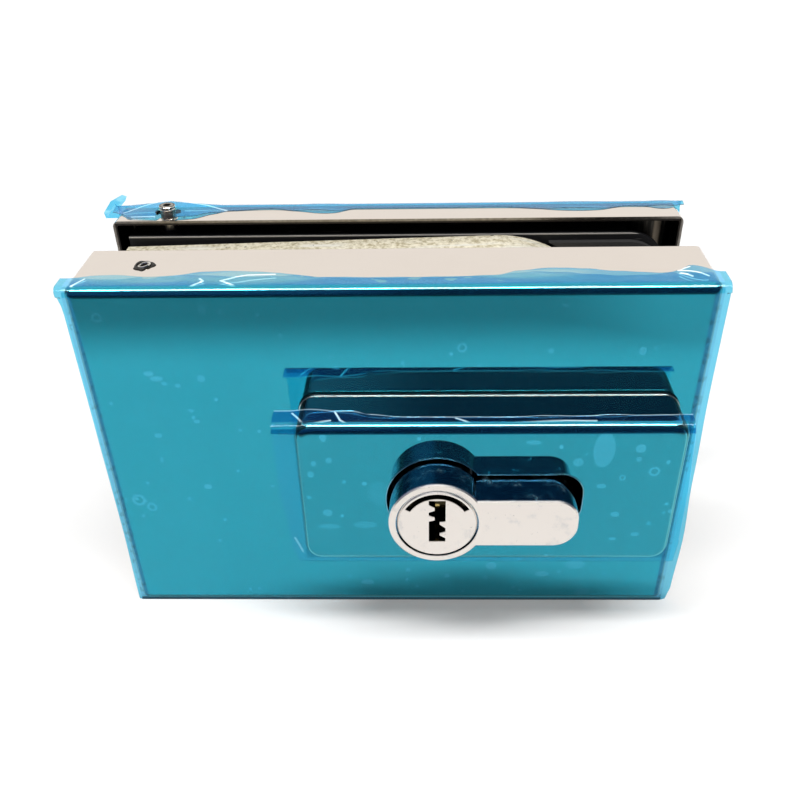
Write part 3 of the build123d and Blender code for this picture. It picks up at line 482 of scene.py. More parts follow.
def closed_grid(grid, layer):
    """Closed thin shell from a grid of (point, outward direction) pairs, layer thick."""
    shape = bmesh.new()
    near = [[shape.verts.new(point) for point, out in row] for row in grid]
    far = [[shape.verts.new(point + out * layer) for point, out in row] for row in grid]
    rows, columns = len(grid), len(grid[0])
    for i in range(rows - 1):
        for j in range(columns - 1):
            corners = ((i, j), (i + 1, j), (i + 1, j + 1), (i, j + 1))
            shape.faces.new([near[a][b] for a, b in corners])
            shape.faces.new([far[a][b] for a, b in reversed(corners)])
    rim = [(0, j) for j in range(columns)]
    rim += [(i, columns - 1) for i in range(1, rows)]
    rim += [(rows - 1, j) for j in range(columns - 2, -1, -1)]
    rim += [(i, 0) for i in range(rows - 2, 0, -1)]
    for (a, b), (c, d) in zip(rim, rim[1:] + rim[:1]):
        shape.faces.new((near[a][b], far[a][b], far[c][d], near[c][d]))
    return shape


def closed_prism(front, back):
    """Closed bmesh between two outlines that have the same number of points."""
    shape = bmesh.new()
    near = [shape.verts.new(point) for point in front]
    far = [shape.verts.new(point) for point in back]
    shape.faces.new(near)
    shape.faces.new(list(reversed(far)))
    for i in range(len(near)):
        after = (i + 1) % len(near)
        shape.faces.new((near[i], far[i], far[after], near[after]))
    return shape


def close_rings(shape, rings):
    """Faces between rings of vertices, each ring and the next, and the last and the first."""
    for near, far in zip(rings, rings[1:] + rings[:1]):
        for i in range(len(near)):
            j = (i + 1) % len(near)
            shape.faces.new((near[i], near[j], far[j], far[i]))


def subtract(piece, shape):
    """Takes a closed bmesh, in metres, away from a piece and frees it."""
    mesh = bpy.data.meshes.new("cutter")
    shape.to_mesh(mesh)
    shape.free()
    cutter = add_object("cutter", mesh)
    cut = piece.modifiers.new("cut", "BOOLEAN")
    cut.operation = "DIFFERENCE"
    cut.solver = "EXACT"
    cut.object = cutter
    bpy.context.view_layer.update()
    shown = piece.evaluated_get(bpy.context.evaluated_depsgraph_get())
    result = bpy.data.meshes.new_from_object(shown)
    piece.modifiers.clear()
    piece.data = result
    result.set_sharp_from_angle(angle=math.radians(35.0))
    bpy.data.objects.remove(cutter)


def cut_out(piece, outline, low_y, high_y):
    """Cuts a prism along Y, with an outline in X and Z, out of a piece."""
    front = [(x * MM, low_y * MM, z * MM) for x, z in outline]
    back = [(x * MM, high_y * MM, z * MM) for x, z in outline]
    shape = closed_prism(front, back)
    bmesh.ops.recalc_face_normals(shape, faces=shape.faces)
    subtract(piece, shape)


def between(points, at):
    """Smooth value at a place, between given (place, value) points."""
    if at <= points[0][0]:
        return points[0][1]
    for (start, first), (end, second) in zip(points, points[1:]):
        if at <= end:
            share = (at - start) / (end - start)
            share = share * share * (3 - 2 * share)
            return first + (second - first) * share
    return points[-1][1]


# Shape of a film that laps over the top edge

def over_bend(distance_up, height, bend):
    """Depth into the lock, level and outward direction at a distance up a face and over its bend."""
    straight = height - bend
    arc = bend * math.pi / 2
    if distance_up <= straight:
        return 0.0, distance_up, (-1.0, 0.0)
    if distance_up < straight + arc:
        angle = (distance_up - straight) / bend
        return (
            bend - bend * math.cos(angle),
            straight + bend * math.sin(angle),
            (-math.cos(angle), math.sin(angle)),
        )
    return bend + distance_up - straight - arc, height, (0.0, 1.0)


def film_stations(height, bend, lap):
    """Distances up a film that ends at the depth lap: sparse up the face, dense after it."""
    straight = height - bend
    arc = bend * math.pi / 2
    start = straight + arc
    end = start + lap - bend
    face_steps = int(straight / 1.5) + 1
    bend_steps = 10
    lap_steps = 14
    stations = [straight * i / face_steps for i in range(face_steps)]
    stations += [straight + arc * i / bend_steps for i in range(bend_steps)]
    stations += [start + (end - start) * i / lap_steps for i in range(lap_steps + 1)]
    return stations


def lapped_film(name, finish, columns, low, high, bend, on_front, sides, lap, lift):
    """Film on the front or back face of a pan's box, bent over its top edge.

    sides gives the film's two ends in X at a level, lap the depth of its edge at an X, and
    lift the air under it at an X, a depth and a level.
    """
    face_y, inward = (low.y, 1.0) if on_front else (high.y, -1.0)
    height = high.z - low.z
    top_left, top_right = sides(height)
    grid = []
    for column in range(columns + 1):
        share = column / columns
        top_x = top_left + share * (top_right - top_left)
        row = []
        for distance_up in film_stations(height, bend, lap(top_x)):
            depth, level, (out_y, out_z) = over_bend(distance_up, height, bend)
            left, right = sides(level)
            x = left + share * (right - left)
            out = Vector((0.0, out_y * inward, out_z))
            point = Vector((x, face_y + depth * inward, low.z + level))
            row.append((point + out * (film_gap + lift(x, depth, level)), out))
        grid.append(row)
    return new_piece(name, finish, closed_grid(grid, film_thickness))


def pocket_lift(pockets, x):
    """Height of the air at an X, from pockets of (middle, half width, height)."""
    lift = 0.0
    for middle, half, height in pockets:
        reach = abs(x - middle) / half
        if reach < 1:
            lift += height * (1 - reach * reach) ** 1.5
    return lift


# Protective film on the front cover

# A lap is a list of (X, depth), a side of (level, X) and pockets of (middle, half width, height).
# Creases, painted white as highlights, run through points of (X, Y). Bubbles, painted paler, are
# (middle, radii, strength) in X and Z, and rings are (middle, radius).
front_lap = [
    (-56.0, 4.5), (-50.5, 4.9), (-40.5, 5.0), (-31.5, 6.2), (-23.0, 5.8), (-17.0, 5.4), (-11.5, 4.3),
    (-2.0, 4.0), (10.0, 4.1), (17.5, 4.6), (21.5, 6.0), (25.5, 6.7), (29.5, 6.6), (33.0, 6.0),
    (38.5, 5.0), (44.5, 4.8), (48.5, 5.5), (50.5, 6.7), (56.0, 5.4),
]
front_left_side = [(0.0, -55.7), (20.0, -55.3), (45.0, -55.4), (66.0, -55.5), (70.0, -56.4)]
front_right_side = [
    (0.0, 56.1), (3.0, 56.8), (16.0, 57.2), (31.0, 56.6), (52.0, 56.2), (70.0, 56.2),
]
front_pockets = [(-26.0, 11.0, 0.45), (33.0, 15.0, 0.4), (-48.0, 6.0, 0.35), (51.0, 4.0, 0.6)]
# Ovals on the top flange where the lifted film is painted paler, as reflected light
front_lifted_sheen = (
    ((-43.0, -7.3), (10.5, 1.7), 0.3),
    ((-24.5, -7.6), (11.0, 2.0), 0.3),
    ((24.0, -6.8), (9.0, 1.5), 0.4),
)
front_bubbles = (
    ((-43.2, 54.2), (0.9, 0.5), 0.8),
    ((-42.0, 53.2), (1.2, 0.5), 0.8),
    ((-40.8, 52.2), (0.6, 0.35), 0.7),
    ((-38.4, 51.8), (0.5, 0.4), 0.7),
    ((-34.0, 53.2), (0.7, 0.7), 0.6),
    ((-36.9, 46.6), (0.5, 0.4), 0.6),
    ((-36.2, 44.3), (0.6, 0.4), 0.7),
    ((-43.9, 41.3), (0.7, 0.5), 0.7),
    ((-44.2, 35.9), (0.4, 0.7), 0.5),
    ((-36.4, 29.6), (0.8, 0.6), 0.7),
    ((-40.4, 26.7), (0.5, 0.5), 0.5),
    ((-31.8, 66.3), (0.7, 0.9), 0.4),
    ((-28.8, 65.9), (0.3, 0.5), 0.5),
    ((-28.5, 42.5), (0.4, 0.3), 0.6),
    ((-34.2, 21.5), (0.4, 0.4), 0.6),
    ((19.1, 9.4), (1.1, 1.0), 0.7),
    ((18.0, 6.2), (0.5, 0.4), 0.5),
    ((29.6, 7.2), (1.5, 0.7), 0.7),
    ((2.0, 8.3), (0.5, 0.5), 0.7),
    ((10.0, 6.6), (0.6, 0.5), 0.7),
    ((-6.5, 4.9), (1.3, 0.7), 0.7),
    ((36.2, 9.8), (2.0, 1.2), 0.5),
    ((38.3, 2.2), (1.5, 0.9), 0.4),
    ((43.1, 58.2), (0.7, 0.8), 0.6),
    ((27.4, 58.3), (0.5, 0.5), 0.5),
)
front_rings = (((-50.5, 26.4), 1.4), ((-48.2, 24.7), 1.0), ((-50.0, 65.0), 0.9), ((12.1, 59.0), 0.9))
front_creases = (
    ((-52.0, -7.6), (-53.6, -10.1), (-52.3, -11.4)),
    ((-34.4, -11.2), (-31.5, -8.9), (-32.2, -8.0)),
    ((-24.7, -11.2), (-28.5, -8.9), (-24.2, -7.1), (-19.7, -6.5)),
    ((52.7, -8.5), (48.3, -6.0), (50.2, -5.3)),
    ((48.4, -7.2), (50.0, -8.7)),
)


def front_film_lift(x, depth, level):
    """Air under the lap on the top flange, and free margins that turn back a little."""
    lift = 0.0
    start = cover_bend * 0.4
    if depth > start:
        rear = min(1.0, (depth - start) / 3.0)
        lift += rear * pocket_lift(front_pockets, x)
        lift += 0.08 * rear * noise.noise((x * 0.35, depth * 0.5, 3.1))
    beyond = abs(x) - cover_high.x
    if depth == 0 and beyond > 0:
        lift -= 0.45 * beyond
    return max(lift, -0.6)


def front_film_layers(tree, where, x, y, z):
    """Where the film on the front cover is paler or bluer than over the flat steel: painted shade and
    highlights on its bends and bottom, painted light on top, and a painted sheen on bubbles and lifts.
    """
    aside = abs(x)
    flat_end = cover_high.x - cover_bend
    # Painted reflection: the film over the side bends is a deeper blue
    side_bend = tree.step(aside, flat_end - 0.1, flat_end + 0.4)
    beyond = tree.step(aside, cover_high.x - 0.05, cover_high.x + 0.2)
    over_steel = 1 - beyond
    # Painted light: the film on the top flange is paler than on the face
    on_top = tree.step(y, cover_low.y + 0.9, cover_low.y + 1.5)
    on_face = 1 - on_top
    # Painted shade: the film is darkest along the bottom edge, where the bend reflects the lock's
    # contact shadow
    bottom = tree.step(z, cover_low.z + 1.0, cover_low.z + 0.4)
    up_bend = z - (cover_high.z - cover_bend)
    # Painted reflection: a dark band low on the top bend, where it faces the dark front
    bend_dark_reflection = tree.band(up_bend, (0.05, 0.30), (0.90, 1.10))
    # Painted highlight: a pale line high on the top bend
    bend_highlight = tree.band(up_bend, (1.10, 1.25), (1.35, 1.45))
    # Darker blotches on the film along the side bends
    side_bend_blotches = tree.step(tree.grain(where, 1.1, 2.0), 0.56, 0.64) * side_bend * over_steel
    air = trapped_air(tree, where, x, z, front_bubbles, front_rings)
    return (
        (air * on_face, film_bubble_sheen),
        (side_bend * on_face, (0.145, 0.52, 0.74)),
        (side_bend_blotches * on_face * 0.5, (0.10, 0.33, 0.42)),
        (bottom * on_face * over_steel, (0.05, 0.18, 0.26)),
        (bend_dark_reflection * over_steel, (0.06, 0.45, 0.68)),
        (on_top, film_on_flange),
        (on_top * tree.ovals(x, y, front_lifted_sheen), film_lifted_sheen),
        (bend_highlight * over_steel, (0.34, 0.85, 0.97)),
        (beyond, film_on_white),
        (on_top * tree.creases(x, y, front_creases, 0.30), film_crease_highlight),
    )


def make_front_film():
    """Film on the front cover, open under the housing."""
    piece = lapped_film(
        "front_film",
        blue_film("blue_film_on_the_front", front_film_layers),
        150,
        cover_low,
        cover_high,
        cover_bend,
        True,
        lambda level: (between(front_left_side, level), between(front_right_side, level)),
        lambda x: between(front_lap, x),
        front_film_lift,
    )
    trapped = 2.0
    left, right = housing_low.x + trapped, housing_high.x - trapped
    bottom, top = housing_low.z + trapped, housing_high.z - trapped
    outline = [(left, bottom), (right, bottom), (right, top), (left, top)]
    cut_out(piece, outline, cover_low.y - 1.0, cover_low.y + 0.5)
    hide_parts("front_cover_film")


# Protective film on the housing

# Given in the same way as the front film; its margin creases run through points of (X, Z)
housing_lap = [
    (-20.5, 5.0), (-12.0, 5.0), (-7.0, 4.6), (-4.0, 3.3), (0.0, 2.8), (20.0, 2.7), (30.0, 2.9),
    (40.0, 3.1), (52.0, 3.3),
]
housing_left_side = [(0.0, -18.3), (3.0, -19.2), (8.0, -19.6), (16.0, -20.5), (30.0, -20.6)]
housing_right_side = [(0.0, 52.2), (5.0, 52.6), (16.0, 52.4), (26.0, 51.8), (30.0, 51.4)]
housing_pockets = [(-14.0, 4.0, 0.3), (-4.0, 7.0, 0.25), (26.0, 5.0, 0.15), (38.0, 4.0, 0.2)]
housing_bubbles = (
    ((36.5, 45.0), (1.9, 3.6), 0.6),
    ((-12.0, 28.3), (2.0, 0.6), 0.4),
    ((-5.3, 28.7), (2.2, 0.8), 0.35),
    ((-2.6, 35.8), (2.0, 2.6), 0.2),
    ((-14.5, 40.0), (0.6, 0.7), 0.6),
    ((-13.8, 42.3), (0.5, 0.6), 0.6),
    ((-11.1, 43.0), (0.6, 0.6), 0.6),
    ((-11.8, 47.7), (0.6, 0.9), 0.6),
    ((-8.7, 38.4), (0.4, 0.4), 0.6),
    ((-5.1, 38.0), (0.5, 0.4), 0.7),
    ((-12.1, 31.5), (0.9, 0.8), 0.6),
    ((-15.2, 35.0), (0.5, 0.4), 0.5),
    ((42.7, 45.3), (0.9, 0.9), 0.7),
    ((24.3, 46.6), (1.3, 0.5), 0.5),
    ((29.1, 45.7), (0.4, 0.5), 0.7),
    ((32.3, 42.5), (0.9, 0.9), 0.5),
    ((42.7, 43.1), (0.5, 0.5), 0.6),
    ((47.8, 42.5), (0.4, 0.5), 0.6),
    ((36.8, 37.4), (0.9, 0.5), 0.6),
    ((40.0, 31.1), (0.8, 0.6), 0.7),
    ((44.2, 26.5), (0.8, 0.5), 0.6),
    ((40.2, 25.4), (0.7, 0.4), 0.6),
    ((46.4, 29.0), (0.5, 0.4), 0.5),
    ((49.8, 31.8), (0.4, 0.5), 0.6),
)
housing_rings = (((45.7, 40.5), 1.0), ((40.3, 39.2), 0.6))
housing_creases = (
    ((-17.3, -18.2), (-15.0, -21.6), (-10.5, -20.5)),
    ((-9.9, -17.8), (-8.8, -20.5), (-7.2, -21.6)),
    ((11.0, -19.9), (14.1, -21.6), (29.6, -20.7), (34.8, -20.8)),
)
# Path of a painted glint along the edge of the lap on the housing's top, through points of (X, Y)
housing_lap_edge = (
    (-21.0, -17.3), (-12.2, -17.4), (-7.0, -17.8), (-3.3, -19.0), (0.0, -19.4), (19.0, -19.5),
    (29.0, -19.3), (39.0, -19.1), (51.4, -18.9),
)
housing_margin_creases = (
    ((51.6, 49.0), (52.5, 36.0), (52.7, 25.0)),
    ((-17.4, 22.3), (-18.6, 25.5)),
)


def profile_outline(clearance, end_play):
    """Outline of the cylinder's profile in X and Z, grown all round and at its tail end."""
    radius = cylinder_radius + clearance
    half_tail = 5.0 + clearance
    tail_corner = 4.2
    tail_end = profile_high.x + clearance + end_play
    meet = math.asin(half_tail / radius)
    round_steps = 40
    corner_steps = 8
    points = []
    for i in range(round_steps + 1):
        angle = meet + (2 * math.pi - 2 * meet) * i / round_steps
        points.append((cylinder_x + radius * math.cos(angle), cylinder_z + radius * math.sin(angle)))
    corner_x = tail_end - tail_corner
    for side, start in ((-1.0, -90.0), (1.0, 0.0)):
        corner_z = cylinder_z + side * (half_tail - tail_corner)
        for i in range(corner_steps + 1):
            angle = math.radians(start + 90.0 * i / corner_steps)
            points.append(
                (corner_x + tail_corner * math.cos(angle), corner_z + tail_corner * math.sin(angle))
            )
    return points


def housing_film_lift(x, depth, level):
    """Air under the lap on the housing's top, and wavy free margins."""
    lift = 0.0
    start = housing_bend * 0.5
    if depth > start:
        rear = min(1.0, (depth - start) / 1.6)
        lift += rear * pocket_lift(housing_pockets, x)
        lift += 0.06 * rear * noise.noise((x * 0.5, depth * 0.7, 7.7))
    beyond = max(housing_low.x - x, x - housing_high.x)
    if depth == 0 and beyond > 0:
        lift += -0.12 * beyond + 0.2 * noise.noise((x * 0.3, level * 0.12, 1.3))
    return lift


def housing_film_layers(tree, where, x, y, z):
    """Where the film on the housing is paler, bluer or creased, with painted highlights and dark
    reflections on its bend and a painted glint at its lap's edge.
    """
    # Painted reflection: the lap on the housing's top is bluer than on the face
    on_top = tree.step(y, housing_low.y + 1.0, housing_low.y + 1.6)
    on_face = 1 - on_top
    left_flap = tree.step(x, housing_low.x + 0.5, housing_low.x)
    right_flap = tree.step(x, housing_high.x - 0.3, housing_high.x + 0.1)
    bottom = tree.step(z, housing_low.z + 1.3, housing_low.z + 0.5)
    up_bend = z - (housing_high.z - housing_bend)
    # Painted reflection: a dark band low on the top bend, where it faces the dark front
    bend_dark_reflection = tree.band(up_bend, (0.0, 0.30), (0.95, 1.15))
    # Painted highlight: a pale line high on the top bend
    bend_highlight = tree.band(up_bend, (1.15, 1.30), (1.50, 1.65))
    film_edge_glint = tree.creases(x, y, [housing_lap_edge], 0.28) * 0.6
    top_creases = film_edge_glint.most(tree.creases(x, y, housing_creases, 0.26))
    margin_creases = tree.creases(x, z, housing_margin_creases, 0.30) * 0.3
    air = trapped_air(tree, where, x, z, housing_bubbles, housing_rings)
    return (
        (air * on_face, film_bubble_sheen),
        (highest((left_flap, right_flap, bottom)) * on_face, film_flap),
        (bend_dark_reflection, (0.05, 0.40, 0.66)),
        (on_top, (0.16, 0.52, 0.86)),
        (bend_highlight, (0.34, 0.80, 0.97)),
        ((margin_creases * on_face).most(on_top * top_creases), film_crease_highlight),
    )


def make_housing_film():
    """Film on the housing, cut out round the cylinder."""
    piece = lapped_film(
        "raised_housing_film",
        blue_film("blue_film_on_the_housing", housing_film_layers, housing_film_blues_shaded),
        120,
        housing_low,
        housing_high,
        housing_bend,
        True,
        lambda level: (between(housing_left_side, level), between(housing_right_side, level)),
        lambda x: between(housing_lap, x),
        housing_film_lift,
    )
    outline = profile_outline(cutout_clearance, cutout_end_play)
    cut_out(piece, outline, housing_low.y - 1.0, housing_low.y + 1.0)
    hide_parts("housing_film")


# Protective film on the rear cover, and two loose scraps

# Given in the same way as the front film; the outlines of the scraps are in X and Z
rear_lap = [
    (-56.0, 4.0), (-54.0, 5.4), (-51.8, 7.7), (-44.6, 7.9), (-40.0, 7.2), (-36.0, 5.0), (-33.0, 3.7),
    (-25.0, 2.9), (-19.0, 4.0), (-12.0, 4.7), (-8.0, 3.2), (20.0, 3.1), (32.0, 4.3), (39.5, 4.5),
    (45.0, 3.1), (53.0, 3.6), (56.0, 2.8),
]
rear_film_half_width = 56.2
rear_pockets = [(-15.0, 5.0, 0.3), (35.0, 7.0, 0.25), (52.0, 3.0, 0.3)]
rear_lifted_sheen = (
    ((-44.2, 24.6), (10.0, 3.6), 0.12),
    ((-15.0, 25.0), (6.0, 1.2), 0.3),
    ((36.0, 25.0), (6.0, 1.0), 0.3),
)
rear_creases = (
    ((-53.6, 24.3), (-50.5, 26.6), (-47.8, 27.9)),
    ((-42.5, 28.2), (-37.5, 27.2), (-33.6, 25.6)),
    ((-51.5, 21.9), (-45.0, 21.5)),
)
tab_outline = (
    (-59.4, 68.6), (-57.6, 70.8), (-55.1, 72.0), (-54.2, 71.7), (-54.6, 70.9), (-55.9, 69.6),
    (-56.9, 70.1), (-59.2, 67.4),
)
folded_corner_outline = ((-56.9, 70.1), (-59.2, 67.4), (-55.1, 67.4), (-55.8, 69.0))


def rear_film_lift(x, depth, level):
    """Tent over the set screw, a low ridge along the edge, small pockets, and free margins."""
    lift = 0.0
    start = cover_bend * 0.3
    if depth > start:
        rear = min(1.0, (depth - start) / 2.0)
        reach = abs(x - rear_screw_x) / 10.5
        if reach < 1:
            slope = max(0.0, 1.0 - abs(depth - 3.6) / 4.6)
            lift += 1.3 * (1 - reach) ** 1.2 * slope**0.6
        lift += 0.32 * max(0.0, 1.0 - abs(depth - 1.2) / 2.2)
        lift += rear * pocket_lift(rear_pockets, x)
    beyond = abs(x) - rear_high.x
    if depth == 0 and beyond > 0:
        lift -= 0.3 * beyond
    return lift


def rear_film_layers(tree, where, x, y, z):
    """Where the film on the rear cover is paler or creased, with painted light on top, a bluer painted
    sheen where it lifts, and creases painted white as highlights.
    """
    beyond = tree.step(abs(x), rear_high.x - 0.05, rear_high.x + 0.2)
    # Painted light: the film on the rear flange is paler than on the face
    on_top = tree.step(y, rear_high.y - 0.5, rear_high.y - 1.2)
    return (
        (on_top, (0.37, 0.60, 0.83)),
        (on_top * tree.ovals(x, y, rear_lifted_sheen), film_on_flange),
        (beyond, film_on_white),
        (on_top * tree.creases(x, y, rear_creases, 0.28) * 0.8, film_crease_highlight),
    )


def loose_film_layers(tree, where, x, y, z):
    """Streaks where a scrap of film is stretched."""
    return ((tree.step(tree.grain(where, 1.2, 2.0, (3.0, 1.0, 1.0)), 0.45, 0.7), film_stretched),)


def loose_scrap(name, outline, y, finish, curl):
    """Scrap of film with an outline in X and Z, which leans along Y with its height."""
    low = min(z for x, z in outline)
    near, far = (
        [(x, y + side + curl * (z - low) ** 2, z) for x, z in outline]
        for side in (0.0, film_thickness)
    )
    shape = closed_prism(near, far)
    bmesh.ops.triangulate(shape, faces=shape.faces)
    new_piece(name, finish, shape)


def make_rear_film():
    """Film on the rear cover, torn open by its set screw, and the scraps at its left end."""
    piece = lapped_film(
        "back_cover_film",
        blue_film("blue_film_on_the_rear", rear_film_layers),
        150,
        rear_low,
        rear_high,
        cover_bend,
        False,
        lambda level: (-rear_film_half_width, rear_film_half_width),
        lambda x: between(rear_lap, x),
        rear_film_lift,
    )
    hole_radius = 1.7
    hole = bmesh.new()
    bmesh.ops.create_cone(
        hole,
        cap_ends=True,
        segments=24,
        radius1=hole_radius * MM,
        radius2=hole_radius * MM,
        depth=12.0 * MM,
        matrix=Matrix.Translation(Vector((rear_screw_x, rear_screw_y, rear_high.z)) * MM),
    )
    subtract(piece, hole)
    left, right = rear_screw_x - hole_radius, rear_screw_x + hole_radius
    tear_bottom, tear_top = 66.0, 75.0
    tear = [(left, tear_bottom), (right, tear_bottom), (right + 0.3, tear_top), (left - 0.2, tear_top)]
    cut_out(piece, tear, rear_screw_y - 8.0, rear_screw_y)
    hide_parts("rear_cover_film")
    loose = blue_film("loose_blue_film", loose_film_layers, (film_alone, film_alone))
    loose_scrap("torn_film_tab", tab_outline, rear_high.y + film_gap, loose, 0.02)
    loose_scrap("folded_film_corner", folded_corner_outline, rear_high.y + 0.25, loose, 0.05)


# Beads, threads and burrs in metal

def outward(points):
    """Places and outward ways along a closed path that runs anticlockwise in X and Z."""
    path = []
    for before, place, after in zip(points[-1:] + points[:-1], points, points[1:] + points[:1]):
        way = (Vector(after) - Vector(before)).normalized()
        path.append((Vector(place), Vector((way.y, -way.x))))
    return path


def rounded_frame(low, high, corner):
    """Rectangle with rounded corners in X and Z, anticlockwise."""
    left, right = low.x + corner, high.x - corner
    bottom, top = low.z + corner, high.z - corner
    corner_steps = 8
    points = []
    for turn, (x, z) in enumerate(((right, top), (left, top), (left, bottom), (right, bottom))):
        for i in range(corner_steps + 1):
            angle = math.radians(90 * turn + 90 * i / corner_steps)
            points.append((x + corner * math.cos(angle), z + corner * math.sin(angle)))
    return points


def bead(name, points, y, radius, finish):
    """Round bead along a closed path in X and Z, at one depth."""
    shape = bmesh.new()
    sides = 10
    rings = []
    for place, out in outward(points):
        ring = []
        for i in range(sides):
            angle = 2 * math.pi * i / sides
            reach = place + out * radius * math.cos(angle)
            ring.append(shape.verts.new((reach.x, y + radius * math.sin(angle), reach.y)))
        rings.append(ring)
    close_rings(shape, rings)
    new_piece(name, finish, shape, 80.0)


def make_housing_beads():
    """Rolled rim at the housing's mouth, a black bead under it as painted shadow, and the lip of its
    cut-out.
    """
    bright = plain_metal(
        "bright_rolled_rim", (0.42, 0.48, 0.46), (0.62, 0.66, 0.62), 0.12, size=2.0, relief=0.004
    )
    black = plain_metal("shadowed_rim", (0.010, 0.012, 0.014), (0.03, 0.035, 0.04), 0.25, size=2.0)
    tinted = plain_metal(
        "tinted_lip", (0.10, 0.30, 0.40), (0.30, 0.62, 0.74), 0.12, size=2.0, relief=0.004
    )
    mouth = rounded_frame(housing_low, housing_high, 3.2)
    bead("housing_rim", mouth, housing_high.y - 0.62, 0.13, bright)
    # Black bead: a painted shadow in the gap round the rim
    bead("housing_rim_shadow", mouth, housing_high.y - 0.28, 0.22, black)
    lip = profile_outline(cutout_clearance + 0.05, cutout_end_play)
    bead("cutout_lip", lip, housing_low.y - 0.02, 0.13, tinted)


def lathe(name, centre, rows, finish, segments=48, ragged=0.0, lean=0.0):
    """Closed ring turned about an upright axis from rows of (radius, height).

    The later half of the rows can be ragged, and the whole ring can lean towards X.
    """
    shape = bmesh.new()
    rings = []
    for i in range(segments):
        angle = 2 * math.pi * i / segments
        way = Vector((math.cos(angle), math.sin(angle), 0.0))
        swell = 1.0 + ragged * noise.noise((way.x * 1.7, way.y * 1.7, 5.3))
        ring = []
        for index, (radius, height) in enumerate(rows):
            growth = 1.0 if index < len(rows) / 2 else swell
            place = centre + way * radius * growth
            rise = height + lean * way.x * radius
            ring.append(shape.verts.new((place.x, place.y, centre.z + rise)))
        rings.append(ring)
    close_rings(shape, rings)
    new_piece(name, finish, shape, 30.0)


def make_set_screw_details():
    """Threads and burrs of the rear set screw, and the burr and bright rim round the front one."""
    bright = plain_metal(
        "bright_thread", (0.50, 0.46, 0.40), (0.86, 0.83, 0.78), 0.14, size=0.5, relief=0.01
    )
    burnt = plain_metal("blackened_burr", (0.008, 0.007, 0.006), (0.05, 0.045, 0.04), 0.4, size=0.4)
    pitch, inner, root, crest = 0.5, 1.3, 1.42, 1.58
    above_flange = 0.1
    top = rear_screw_high.z - rear_high.z - above_flange
    rows = [(inner, 0.0), (inner, top), (root, top)]
    for turn in range(int(top / pitch)):
        level = top - pitch * turn
        rows.append((crest, level - pitch * 0.35))
        rows.append((crest, level - pitch * 0.5))
        rows.append((root, level - pitch * 0.9))
    rows.append((root, 0.0))
    centre = Vector((rear_screw_x, rear_screw_y, rear_high.z + above_flange))
    lathe("rear_screw_thread", centre, rows, bright)
    flake = [(0.05, 0.0), (0.05, 0.22), (0.50, 0.16), (0.58, 0.0)]
    for side, off_x, off_y in (("left", -2.1, 0.4), ("right", 1.75, 0.8)):
        place = centre + Vector((off_x, off_y, 0.0))
        lathe(f"rear_screw_flake_{side}", place, flake, burnt, segments=24, ragged=0.9)
    centre = Vector((front_screw_x + 0.1, front_screw_y - 0.3, cover_high.z))
    burr = [(1.25, 0.02), (1.35, 0.22), (1.75, 0.18), (1.95, 0.02)]
    lathe("front_screw_burr", centre, burr, burnt, segments=60, ragged=0.5)
    rim = [(0.80, 0.10), (0.88, 0.26), (1.12, 0.26), (1.20, 0.10)]
    lathe("front_screw_rim", centre, rim, bright, lean=0.18)


# Finishes on the CAD pieces

def dress(finish, *nodes):
    """Gives CAD nodes one finish."""
    for node in nodes:
        mesh = cad_nodes[node].data
        mesh.materials.clear()
        mesh.materials.append(finish.material)


def dress_nodes():
    """Gives every CAD node that is shown its finish."""
    for node, name, low, high, on_front in (
        ("front_cover", "mirror_steel_front", cover_low, cover_high, True),
        ("cylinder_housing", "mirror_steel_housing", housing_low, housing_high, True),
        ("rear_cover", "mirror_steel_rear", rear_low, rear_high, False),
    ):
        face_y, mouth_y = (low.y, high.y) if on_front else (high.y, low.y)
        dress(mirror_steel(name, face_y, mouth_y, low, high), node)
    dress(rough_casting(), "lock_body", "cylinder_guard")
    dress(black_coating(), "front_plate", "rear_plate")
    dress(moulded_rubber(), "front_gasket", "rear_gasket")
    dress(nickel_plate(), "cylinder_body", "cylinder_plug")
    dress(
        plain_metal("zinc_plated_steel", (0.46, 0.46, 0.42), (0.66, 0.66, 0.60), 0.3),
        "housing_studs",
        "housing_screws",
        "guard_screws",
        "body_screws",
        "clamp_screws",
        "forend_screws",
        "cylinder_screw",
        "bolt_guide_pin",
    )
    satin = plain_metal(
        "satin_steel", (0.50, 0.50, 0.49), (0.66, 0.65, 0.63), 0.28, size=0.6, relief=0.01
    )
    dress(satin, "forend_plate", "bolt", "driver_pins")
    spring = plain_metal("spring_steel", (0.24, 0.24, 0.25), (0.42, 0.41, 0.40), 0.3, size=0.8)
    dress(spring, "friction_spring", "plug_clip", "pin_springs")
    sintered = plain_metal(
        "oiled_sintered_steel", (0.20, 0.195, 0.19), (0.36, 0.35, 0.33), 0.4, size=0.3, relief=0.05
    )
    dress(sintered, "cylinder_cam")
    dark = plain_metal("worn_dark_steel", (0.20, 0.18, 0.15), (0.46, 0.42, 0.36), 0.25, size=0.7)
    dress(dark, "front_set_screws", "rear_set_screws")
    brass = plain_metal("brass", (0.62, 0.44, 0.14), (0.86, 0.66, 0.28), 0.2, size=0.5)
    dress(brass, "key_pins", "bore_plugs")


# Studio

